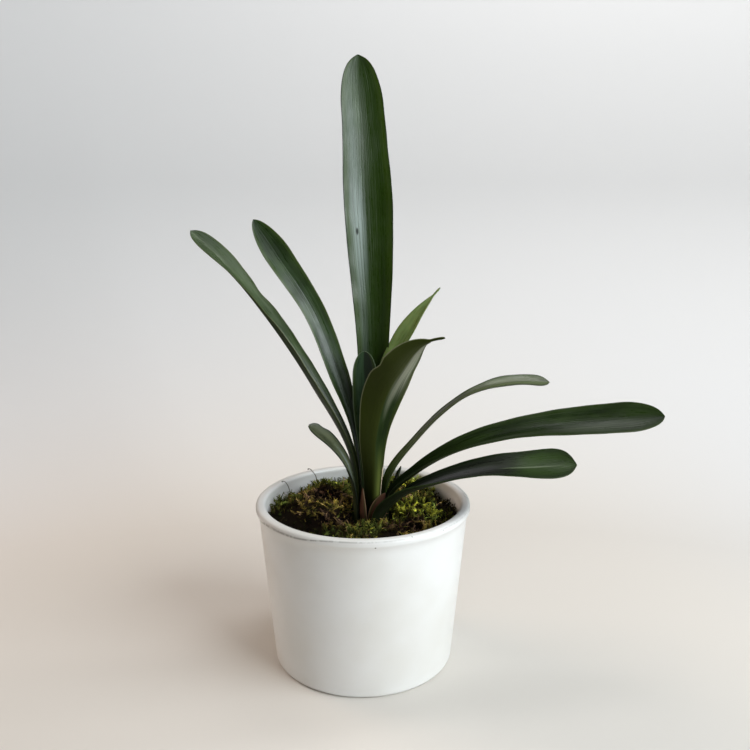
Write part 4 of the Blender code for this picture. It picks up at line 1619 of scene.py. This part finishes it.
@dataclass(frozen=True)
class StrapLeaf:
    """One blade, with the stations of its CAD node and the finer form of a real leaf.

    A station is x, y, z and half width in millimetres, and roll in degrees. lean is the way
    that the blade leans, in degrees from +X towards +Y.
    """

    node: str
    lean: float
    tip_length: float
    tip_round: float
    tip_power: float
    fold: Pair
    stations: tuple[Station, ...]
    finish: LeafFinish
    thick: Pair = (2.2, 1.1)
    tail: float = 0.0
    tail_half_width: float = 0.5
    point: float = 1.5
    rows: int = 120
    columns: int = 24
    wave: float = 0.5
    wave_length: float = 55.0
    slot: str = "leaf"
    # side -1 or 1, share of the length, depth and width of each bite in the margin
    nicks: tuple[tuple[int, float, float, float], ...] = ()
    fold_softness: float = 0.6
    edge_thickness: float = 0.5
    margin_round: float = 0.16
    pattern_step: float = 1000.0  # far enough for each leaf to read its own part of the noise

    def spine(self) -> tuple[Array, Array, Array, Array]:
        """Samples the stations closely along the midrib.

        Returns:
            The samples, and distance along the midrib, direction and width axis at each.
        """
        stations = np.array(self.stations, dtype=float)
        chords = np.linalg.norm(np.diff(stations[:, :3], axis=0), axis=1)
        keys = np.concatenate([[0.0], np.cumsum(chords)]) / chords.sum()
        places = np.linspace(0.0, 1.0, 401)
        samples = smooth_through(keys, stations, places)
        points = samples[:, :3]
        steps = np.linalg.norm(np.diff(points, axis=0), axis=1)
        travelled = np.concatenate([[0.0], np.cumsum(steps)])
        along = unit(np.gradient(points, places, axis=0))
        lean = math.radians(self.lean)
        side = np.array([-math.sin(lean), math.cos(lean), 0.0])
        across = np.zeros_like(points)
        for row, direction in enumerate(along):
            side = side - direction * (side @ direction)
            side /= np.linalg.norm(side)
            across[row] = side
        return samples, travelled, along, across

    def row_shares(self, length: float) -> Array:
        """Spaces the rows, closer towards the tip.

        Args:
            length: Length of the midrib.

        Returns:
            The share of the length at which each row stands.
        """
        tip_rows = round(self.rows * 0.36)
        start = 1 - 1.1 * (self.tip_length + self.tail) / length
        blade = np.linspace(0, start, self.rows - tip_rows + 1)
        tip = 1 - (1 - start) * (1 - np.linspace(0, 1, tip_rows + 1)[1:]) ** 1.5
        return np.concatenate([blade, tip])

    def rows_on_spine(self) -> BladeRows:
        """Sets the rows on the spine, each turned by its roll and as wide as a real blade.

        Returns:
            The rows.
        """
        samples, travelled, along, across = self.spine()
        length = travelled[-1]
        share = self.row_shares(length)
        distance = share * length
        read, forward, side = (np.stack([np.interp(distance, travelled, v) for v in values.T], axis=1)
                               for values in (samples, along, across))
        forward = unit(forward)
        side = unit(side - forward * np.sum(side * forward, axis=1)[:, None])
        up = np.cross(forward, side)
        roll = np.radians(read[:, 4])
        cosine, sine = np.cos(roll)[:, None], np.sin(roll)[:, None]
        return BladeRows(share, distance, read[:, :3], cosine * side + sine * up,
                         cosine * up - sine * side, self.tapered(read[:, 3], distance, length))

    def tapered(self, half_width: Array, distance: Array, length: float) -> Array:
        """Rounds the tip off and draws out its tail.

        Args:
            half_width: Half width at each row, as the stations give it.
            distance: Distance of each row along the midrib.
            length: Length of the midrib.

        Returns:
            The half width at each row.
        """
        tip_share = np.clip((distance - length + self.tail + self.tip_length) / self.tip_length, 0, 1)
        rounded = half_width * (1 - tip_share ** self.tip_power) ** self.tip_round
        pointed = self.point * np.maximum(length - self.tail - distance, 0.0)
        rounded = (np.maximum(rounded, 1e-3) ** -4 + np.maximum(pointed, 1e-3) ** -4) ** -0.25
        narrowest = self.tail_half_width * (0.5 + 0.5 * np.clip((length - distance) / 2.0, 0, 1))
        return np.maximum(rounded, narrowest)

    def rise(self, rows: BladeRows, width: Array, column: Array) -> Array:
        """How far the upper face rises off the spine by its fold and the ripple of its margins.

        Args:
            rows: The rows.
            width: Half width at each point of the grid.
            column: Each column's place from -1 to 1.

        Returns:
            The rise at each point of the grid.
        """
        fold = self.fold[1] + (self.fold[0] - self.fold[1]) * (1 - rows.share) ** 1.5
        soft = self.fold_softness
        lift = (np.sqrt(column ** 2 + soft ** 2) - soft) / (math.sqrt(1 + soft ** 2) - soft)
        ripple = np.zeros_like(width)
        for half, phase in ((-1, 0.4), (1, 2.1)):
            turn = math.tau * rows.distance / self.wave_length + phase + self.lean
            swing = np.sin(turn) + 0.5 * np.sin(2.3 * turn + 1.0)
            ripple += np.where(np.sign(column) == half, column ** 2, 0.0) * swing[:, None]
        # narrow rows and the stiff foot keep still
        broad = np.clip(rows.half_width / 12.0, 0.0, 1.0)
        free = np.clip((rows.distance - 40.0) / 50.0, 0.0, 1.0)
        return width * fold[:, None] * lift + self.wave * (broad * free)[:, None] * ripple

    def upper_face(self, rows: BladeRows) -> Array:
        """Lays the blade's upper face over its rows.

        Args:
            rows: The rows.

        Returns:
            A grid of places, one line of them for each row.
        """
        column = np.linspace(-1, 1, self.columns + 1)
        width = rows.half_width[:, None] * np.ones_like(column)
        for side, share, depth, reach in self.nicks:
            bite = depth * np.exp(-((rows.share - share) * rows.distance[-1] / reach) ** 2)
            width -= np.where(np.sign(column) == side, bite[:, None] * np.abs(column), 0.0)
        rise = self.rise(rows, width, column)
        places = rows.points[:, None] + rows.across[:, None] * (width * column)[..., None]
        places = places + rows.up[:, None] * rise[..., None]
        places[0, :, 2] = self.stations[0][2]
        return places

    def build(self, seed: int) -> None:
        """Shapes a grid into the blade, thickens it, rounds its margins and dresses it.

        Args:
            seed: Sets where the leaf reads its patterns, so that no two leaves are alike.
        """
        rows = self.rows_on_spine()
        places = self.upper_face(rows)
        deselect()
        bpy.ops.mesh.primitive_grid_add(x_subdivisions=self.columns, y_subdivisions=self.rows, size=1.0)
        blade = bpy.context.object
        mesh = blade.data
        flat = coordinates(mesh)
        column = np.rint((flat[:, 0] + 0.5) * self.columns).astype(int)
        row = np.rint((flat[:, 1] + 0.5) * self.rows).astype(int)
        place_vertices(mesh, places[row, column] * MM)
        across = column / self.columns
        midrib = places[:, self.columns // 2]
        run = np.concatenate([[0.0], np.cumsum(np.linalg.norm(np.diff(midrib, axis=0), axis=1))])
        half_width = rows.half_width[row]
        self.write_uv(mesh, "blade", np.stack([across, rows.share[row]], axis=1))
        self.write_uv(mesh, "size", np.stack([2 * (across - 0.5) * half_width,
                                              run[row] + self.pattern_step * seed], axis=1))
        middle = self.thick[1] + (self.thick[0] - self.thick[1]) * (1 - rows.share[row]) ** 2
        body = self.edge_thickness + (middle - self.edge_thickness) * (1 - (2 * across - 1) ** 2)
        body = np.minimum(body, np.maximum(self.edge_thickness, 0.9 * half_width))
        mesh.materials.clear()
        for under in (False, True):
            mesh.materials.append(self.finish.material(under, 2.0 * float(rows.half_width.max()),
                                                       float(run[-1])))
        self.thicken(blade, body)
        bpy.ops.object.shade_smooth()
        settle(blade, f"{self.node}_blade", [self.node])

    def thicken(self, blade: bpy.types.Object, body: Array) -> None:
        """Gives the face its thickness downwards and rounds its margins.

        Args:
            blade: The blade's upper face.
            body: The thickness at each of its vertices.
        """
        group = blade.vertex_groups.new(name="thickness")
        for index, weight in enumerate(body / self.thick[0]):
            group.add([index], float(weight), "REPLACE")
        bpy.ops.object.mode_set(mode="EDIT")
        bpy.ops.mesh.select_all(action="SELECT")
        bpy.ops.mesh.flip_normals()
        bpy.ops.object.mode_set(mode="OBJECT")
        solid = blade.modifiers.new("thickness", "SOLIDIFY")
        solid.thickness = self.thick[0] * MM
        solid.offset = -1.0
        solid.vertex_group = "thickness"
        solid.material_offset = 1
        rounded = blade.modifiers.new("margins", "BEVEL")
        rounded.width = self.margin_round * MM
        rounded.segments = 2
        rounded.limit_method = "ANGLE"
        rounded.angle_limit = math.radians(55)
        apply_modifiers(blade)

    @staticmethod
    def write_uv(mesh: bpy.types.Mesh, name: str, values: Array) -> None:
        """Stores two numbers for each vertex as a UV map.

        Args:
            mesh: The mesh.
            name: The map's name.
            values: The numbers.
        """
        layer = mesh.uv_layers.get(name) or mesh.uv_layers.new(name=name)
        corner = np.empty(len(mesh.loops), dtype=np.int32)
        mesh.loops.foreach_get("vertex_index", corner)
        layer.data.foreach_set("uv", values[corner].ravel())


DARK = LeafFinish("dark", deep=(0.006, 0.014, 0.002), light=(0.014, 0.027, 0.004), gloss=0.2,
                  margin=(0.045, 0.060, 0.025), band=(0.019, 0.034, 0.007), shade_reach=0.4,
                  painted_sheens=((0.28, 0.80, 0.34, 0.22, 0.45), (0.2, 0.5, 0.2, 0.2, 0.25)))
TALL = LeafFinish("tall", deep=(0.010, 0.026, 0.003), light=(0.025, 0.052, 0.008),
                  margin=(0.013, 0.026, 0.004), band=(0.026, 0.050, 0.003), gloss=0.38, rib_depth=0.05,
                  tip=(0.034, 0.060, 0.020), tip_from=0.76,
                  mottle=0.2, painted_half_light=(0.013, 0.031, 0.001), painted_sheen=(0.21, 0.26, 0.235),
                  painted_sheens=((0.74, 0.65, 0.26, 0.20, 0.95), (0.82, 0.84, 0.26, 0.12, 0.25),
                          (0.78, 0.42, 0.2, 0.2, 0.15)),
                  scars=((0.755, 0.64, 1.3),))
SATIN = LeafFinish("satin", deep=(0.029, 0.049, 0.018), light=(0.056, 0.084, 0.033),
                   margin=(0.07, 0.085, 0.03), gloss=0.5, under=(0.010, 0.019, 0.003), shade_reach=0.14,
                   painted_sheen=(0.17, 0.185, 0.175),
                   painted_sheens=((0.4, 0.36, 0.5, 0.24, 0.95), (0.45, 0.2, 0.4, 0.15, 0.5)))
INNER = LeafFinish("inner", deep=(0.009, 0.024, 0.004), light=(0.026, 0.050, 0.012),
                   margin=(0.065, 0.090, 0.032), margin_width=0.8, gloss=0.45, mottle=0.5,
                   shade_reach=0.14, painted_sheen=(0.21, 0.24, 0.235),
                   painted_sheens=((0.60, 0.34, 0.22, 0.22, 0.3), (0.60, 0.52, 0.22, 0.2, 0.25),
                           (0.24, 0.42, 0.16, 0.25, 0.25), (0.66, 0.18, 0.3, 0.16, 0.85)))
# PALE: its dark strip along one margin is painted shade
PALE = LeafFinish("pale", deep=(0.030, 0.038, 0.018), light=(0.074, 0.084, 0.044), mottle=0.5,
                  margin=(0.012, 0.018, 0.007), band=(0.04, 0.05, 0.028), margin_width=0.9,
                  shade_reach=0.2, hem_and_edge_shade=(0.010, 0.015, 0.008), hem_reach=(0.05, 0.85),
                  painted_sheen=(0.19, 0.22, 0.21),
                  painted_sheens=((0.32, 0.50, 0.12, 0.32, 1.0), (0.38, 0.24, 0.20, 0.24, 1.0)))
SMALL = LeafFinish("small", deep=(0.015, 0.034, 0.013), light=(0.040, 0.074, 0.038),
                   margin=(0.11, 0.15, 0.09), painted_half_light=(0.006, 0.013, 0.005), gloss=0.35)
UPPER = LeafFinish("upper", deep=(0.050, 0.064, 0.030), light=(0.10, 0.115, 0.062),
                   margin=(0.035, 0.040, 0.020), foot=(0.07, 0.13, 0.015), foot_reach=0.42,
                   rib=(0.020, 0.026, 0.014), rib_from=0.2, rib_strength=0.7,
                   painted_half_light=(0.090, 0.115, 0.048), painted_sheen=(0.125, 0.120, 0.125),
                   painted_sheens=((0.74, 0.52, 0.3, 0.22, 0.8),))
LOW = LeafFinish("low", deep=(0.007, 0.010, 0.006), light=(0.020, 0.025, 0.014), gloss=0.35,
                 band=(0.010, 0.018, 0.006), tip=(0.024, 0.046, 0.010), rib=(0.15, 0.19, 0.11),
                 rib_from=0.64, painted_sheen=(0.15, 0.145, 0.155),
                 painted_sheens=((0.35, 0.45, 0.5, 0.34, 0.2), (0.56, 0.46, 0.20, 0.30, 0.5)))
# OLIVE: its foot tint is a painted highlight, and its tinted half stands in for how the light falls on
# that half
OLIVE = LeafFinish("olive", deep=(0.010, 0.020, 0.004), light=(0.018, 0.032, 0.006),
                   margin=(0.17, 0.18, 0.10), margin_width=0.7, foot=(0.17, 0.205, 0.045),
                   foot_reach=0.42, foot_band=(0.69, 0.27), shade_reach=0.42,
                   painted_half_light=(0.027, 0.035, 0.003), hem_and_edge_shade=(0.62, 0.50, 0.36), gloss_under=0.1,
                   under=(0.010, 0.020, 0.004), painted_sheen=(0.28, 0.285, 0.21), band=(0.027, 0.037, 0.003),
                   painted_sheens=((0.80, 0.80, 0.6, 0.24, 1.0), (0.74, 0.92, 0.4, 0.1, 0.8),
                           (0.62, 0.66, 0.13, 0.2, 0.5)))
# painted light: this leaf's colours are made bright to stand in for the light that shines through it
# from behind
BACKLIT = LeafFinish("fresh", deep=(0.12, 0.175, 0.046), light=(0.20, 0.28, 0.09), shade_reach=0.36,
                   margin=(0.13, 0.18, 0.05), band=(0.14, 0.20, 0.05), glow=0.15,
                   under=(0.13, 0.19, 0.05))
# SCALE: the dark foot is painted shade at the bottom of the scales
SCALE = LeafFinish("scale", deep=(0.034, 0.010, 0.005), light=(0.108, 0.044, 0.022),
                   margin=(0.21, 0.13, 0.08), foot=(0.010, 0.005, 0.004), foot_reach=0.45,
                   shade_reach=0.5, roughness=0.55, gloss=0.3, under=(0.11, 0.05, 0.03))

FOOT = 98.3  # height at which the leaves stand on the crown

LEAVES = (
    StrapLeaf("leaf_tall", 95, 34, 0.5, 2.2, (0.42, 0.22), thick=(2.4, 1.3), finish=TALL, point=2.0,
              fold_softness=1.2, stations=(
        (5.5, 9, FOOT, 5.5, 0), (5.5, 12, 151, 7.8, -6), (7, 17, 219, 10.7, -7),
        (3, 22, 322, 16.6, 6), (-1, 24, 387, 14.2, 8), (-3, 24, 415, 13.6, -3))),
    StrapLeaf("leaf_left_outer", 172, 24, 0.55, 2.0, (1.0, 0.3), finish=SATIN, fold_softness=0.2,
              nicks=((-1, 0.74, 1.5, 8.0), (-1, 0.86, -0.8, 9.0)), wave=0.25, stations=(
        (-6.3, 2.2, FOOT, 3.4, 0), (-7, 2.2, 142.5, 3.1, 0), (-34.5, 8.8, 195.6, 8.5, 0),
        (-62.8, 13.8, 238.5, 11.1, 0), (-93.8, 19.9, 277.2, 9.3, -16),
        (-118.4, 24, 301.1, 9.2, -38))),
    StrapLeaf("leaf_left_inner", 160, 30, 0.6, 2.0, (0.5, 0.16), finish=INNER, fold_softness=1.0,
              stations=(
        (-1.6, 9.2, FOOT, 3.6, 0), (-6, 13.4, 160.5, 4.9, -15), (-17.5, 16, 201.2, 7.3, -40),
        (-35.2, 19.1, 247.9, 7.8, -50), (-56.9, 24.1, 281.4, 9.1, -55),
        (-75.8, 28.1, 308.5, 8.7, -58))),
    StrapLeaf("leaf_left_low", 192, 14, 0.55, 2.3, (0.35, 0.2), thick=(1.8, 1.1), finish=PALE, point=9.0,
              nicks=((-1, 0.89, 1.3, 3.5),), stations=(
        (-5, -8, FOOT, 3.5, 0), (-6.5, -8.5, 127.5, 4.5, -9), (-11.5, -9, 144, 7, -20),
        (-19.5, -9.5, 156.5, 8.5, -23), (-36.5, -10, 172, 7.5, -35))),
    StrapLeaf("leaf_middle_small", 95, 16, 0.5, 2.2, (0.4, 0.22), thick=(1.8, 1.0), finish=SMALL,
              point=9.0, fold_softness=0.35, stations=(
        (4.5, 2.2, FOOT, 4.5, 0), (4, 2, 140, 6, 0), (1.5, 2, 187, 8.5, 0),
        (1, 2.5, 220.5, 7.5, 0))),
    StrapLeaf("leaf_front", 285, 30, 0.85, 1.7, (0.5, 0.4), thick=(2.6, 1.4), tail=9,
              tail_half_width=1, finish=OLIVE, fold_softness=0.15, nicks=((-1, 0.72, 1.9, 4.5),),
              stations=(
        (6.5, -7.5, FOOT, 5, 0), (7.5, -9, 133, 6.5, -2), (8.5, -11, 163, 10, 0),
        (16, -15.5, 196, 14.5, -4), (25, -22, 213, 14, 8), (41.5, -31, 233, 11, 12),
        (52.5, -36, 236.5, 6, 14))),
    StrapLeaf("leaf_back_right", 45, 40, 0.8, 1.6, (0.45, 0.2), thick=(1.8, 1.0), tail=6,
              tail_half_width=0.7, finish=BACKLIT, stations=(
        (9.5, 4.2, FOOT, 4.2, 0), (11, 5.5, 150, 5.5, 0), (19.5, 8.5, 213.5, 7, 2),
        (35, 15, 240.5, 7, 4), (53.5, 23, 262, 6, 5))),
    StrapLeaf("leaf_right_upper", 15, 11, 0.55, 2.2, (0.4, 0.22), thick=(1.8, 1.0), finish=UPPER,
              stations=(
        (14.3, 3.5, FOOT, 3, 0), (17, 4.8, 128, 4.4, 6), (38.5, 9, 158, 4, 0),
        (53.5, 11.8, 173.3, 3.9, 0), (72.5, 15, 187, 4.6, 0), (99.5, 21, 194.5, 6.5, 14),
        (133.5, 26, 194, 6, 25))),
    StrapLeaf("leaf_right_middle", 0, 30, 0.55, 2.3, (0.45, 0.2), finish=DARK, wave=0.2, point=2.2,
              stations=(
        (16.5, -5, FOOT, 3.6, 0), (18.5, -5, 120.5, 4.8, 2), (35.5, -5, 136.5, 6.5, 3),
        (64.5, -6, 154.5, 8.5, 14), (103, -7, 166.5, 11, 20), (158.5, -9, 174, 13.5, 30),
        (204, -12, 179, 12.5, 37))),
    StrapLeaf("leaf_right_low", -30, 18, 0.5, 2.2, (0.45, 0.22), finish=LOW, wave=0.2, point=2.4,
              stations=(
        (9.5, -16.4, FOOT, 4.2, 0), (12.5, -17, 110, 6.6, -8), (25.5, -18, 124, 9, 6),
        (49.5, -22, 136, 10, 26), (81.5, -29, 146.5, 12.5, 33), (116, -36, 151, 14, 44),
        (139, -40, 154, 13, 54))),
    StrapLeaf("leaf_stub", 10, 10, 0.8, 1.6, (0.4, 0.3), thick=(1.4, 0.9), finish=DARK, rows=40,
              wave=0.0, stations=(
        (18.8, 3.5, FOOT, 2.6, 0), (21, 4.4, 118, 3.2, 0), (26.5, 4.5, 138, 3, 5))),
    StrapLeaf("sheath_left", 215, 16, 0.8, 1.7, (0.5, 0.5), thick=(1.0, 0.8), finish=SCALE, rows=40,
              wave=0.3, wave_length=9.0, slot="sheath", stations=(
        (0, -12, FOOT, 4.3, 0), (-1, -13, 112, 3.6, 0), (0, -13, 128, 2.6, 0))),
    StrapLeaf("sheath_right", 300, 14, 0.7, 1.8, (0.5, 0.5), thick=(1.0, 0.8), finish=SCALE, rows=40,
              wave=0.3, wave_length=9.0, slot="sheath", stations=(
        (7.6, -12.2, FOOT, 4.4, 0), (10, -12.5, 112, 4.9, 0), (15, -11.5, 124, 4.2, 0))),
)


@dataclass(frozen=True)
class Panel:
    """One soft panel of light, with its places and sizes in metres and its power in watts."""

    name: str
    place: Place
    target: Place
    size: Pair
    power: float
    colour: Colour
    mirrored: bool = False  # whether glossy surfaces show it

    def hang(self) -> None:
        """Hangs the panel, which the camera doesn't see."""
        data = bpy.data.lights.new(self.name, "AREA")
        data.shape = "RECTANGLE"
        data.size, data.size_y = self.size
        data.energy = self.power
        data.color = self.colour
        lamp = bpy.data.objects.new(self.name, data)
        lamp.location = self.place
        towards = Vector(self.target) - Vector(self.place)
        lamp.rotation_euler = towards.to_track_quat("-Z", "Y").to_euler()
        lamp.visible_camera = False
        lamp.visible_glossy = self.mirrored
        bpy.context.scene.collection.objects.link(lamp)


@dataclass(frozen=True)
class PaperFinish:
    """Matt pale paper, warmer under the pot, that shines by itself where no light reaches it."""

    floor: Colour = (0.70, 0.665, 0.62)
    wall: Colour = (0.66, 0.655, 0.655)
    unlit: Colour = (0.05, 0.05, 0.05)
    floor_reach: Pair = (250.0, 600.0)  # distances between which the floor's colour fades out
    dark_side: Pair = (200.0, -350.0)  # y between which the wall turns from lit to shining
    roughness: float = 0.9

    def material(self, name: str, glow: float) -> bpy.types.Material:
        """The paper's material.

        Args:
            name: The material's name.
            glow: How brightly its dark side shines, or 0 where it doesn't.

        Returns:
            The material.
        """
        mix = Recipe(name, self.floor)
        x, y, _ = mix.split(mix.object_place())
        mix.lay(mix.step(mix.from_axis(x, y), self.floor_reach), self.wall)
        if glow > 0:
            dark = mix.step(y, self.dark_side)
            mix.lay(dark, self.unlit)
            mix.feed(mix.shader.inputs["Emission Color"], self.wall)
            mix.feed(mix.shader.inputs["Emission Strength"], mix.times(dark, glow))
        return mix.finish(self.roughness, Specular_IOR_Level=0.2)


@dataclass(frozen=True)
class Studio:
    """Pale sweep, soft lights and the photograph's camera."""

    lens: float = 38.4  # for a sensor 36 mm wide
    eye: Place = (8.32, -534.1, 319.1)
    pitch: float = 12.09  # degrees below the horizon
    sweep_centre: float = -650.0
    sweep_radius: float = 1250.0
    sweep_round: float = 350.0
    sweep_height: float = 1500.0
    floor_level: float = -0.05
    wall_glow: float = 0.9  # brightness of the wall's dark side
    air: float = 0.05  # strength of the light from all round
    finish: PaperFinish = PaperFinish()
    panels: tuple[Panel, ...] = (
        Panel("window", (1.0, -0.62, 0.68), (0.0, 0.0, 0.22), (1.1, 1.0), 21.5, (0.90, 0.97, 1.0),
              mirrored=True),
        Panel("ceiling", (0.05, -0.25, 1.35), (0.0, 0.0, 0.1), (1.4, 1.0), 4.2, (1.0, 0.98, 0.97)),
        Panel("front_fill", (-0.2, -1.3, 1.0), (0.0, 0.0, 0.1), (1.6, 1.0), 1.3, (1.0, 0.88, 0.78)),
        Panel("left_fill", (-0.95, 0.5, 0.58), (0.0, 0.0, 0.12), (0.6, 0.6), 6.2, (1.0, 0.82, 0.68)),
        Panel("backdrop", (0.45, 0.3, 1.25), (0.35, 1.3, 0.35), (0.9, 0.5), 8.0, (1.0, 1.0, 1.0),
              mirrored=True))

    def camera(self) -> None:
        """Sets the camera up where the photograph was taken from."""
        data = bpy.data.cameras.new("photo_camera")
        data.lens = self.lens
        data.sensor_width = 36.0
        data.clip_start = 0.01
        camera = bpy.data.objects.new("photo_camera", data)
        camera.location = [value * MM for value in self.eye]
        camera.rotation_euler = (math.radians(90 - self.pitch), 0.0, 0.0)
        bpy.context.scene.collection.objects.link(camera)
        bpy.context.scene.camera = camera

    def paper(self, name: str, outline: Sequence[Pair], glow: float = 0.0) -> bpy.types.Object:
        """Turns one part of the studio's sweep out of its outline.

        Args:
            name: The part's name.
            outline: Radius and height of its points, in millimetres.
            glow: How brightly its dark side shines.

        Returns:
            The part.
        """
        part = lathe(outline, 96)
        part.name = name
        take_up(part)
        part.location.y = self.sweep_centre * MM
        bpy.ops.object.transform_apply(location=True)
        bpy.ops.object.shade_smooth()
        part.data.materials.append(self.finish.material(name, glow))
        return part

    def build_sweep(self) -> None:
        """Makes the pale floor and the wall that it rises to all round."""
        floor_radius = self.sweep_radius - self.sweep_round
        curve = elliptic_arc((floor_radius, self.sweep_round + self.floor_level),
                             (self.sweep_round, self.sweep_round), -90, 0, 24)
        self.paper("studio_floor", [(0, self.floor_level), (floor_radius, self.floor_level)])
        outline = [*curve, (self.sweep_radius, self.sweep_height)]
        wall = self.paper("studio_wall", outline, self.wall_glow)
        wall.visible_diffuse = False
        wall.visible_glossy = False
        wall.visible_shadow = False

    def build(self) -> None:
        """Sets up the camera, the floor, the lights and the view."""
        self.camera()
        self.build_sweep()
        for panel in self.panels:
            panel.hang()
        world = bpy.data.worlds.new("studio_air")
        bpy.context.scene.world = world
        world.use_nodes = True
        background = world.node_tree.nodes["Background"]
        background.inputs["Color"].default_value = (0.92, 0.92, 0.92, 1.0)
        background.inputs["Strength"].default_value = self.air
        bpy.context.scene.view_settings.view_transform = "Standard"


def main() -> None:
    """Builds the studio and then the plant, from the pot upwards."""
    logging.basicConfig(level=logging.INFO)
    Studio().build()
    GlazedPot().build()
    Soil().build()
    CROWN.build()
    MossBed().build()
    for stalk in STALKS:
        stalk.build()
    for seed, leaf in enumerate(LEAVES, start=1):
        leaf.build(seed)


if __name__ == "__main__":
    main()
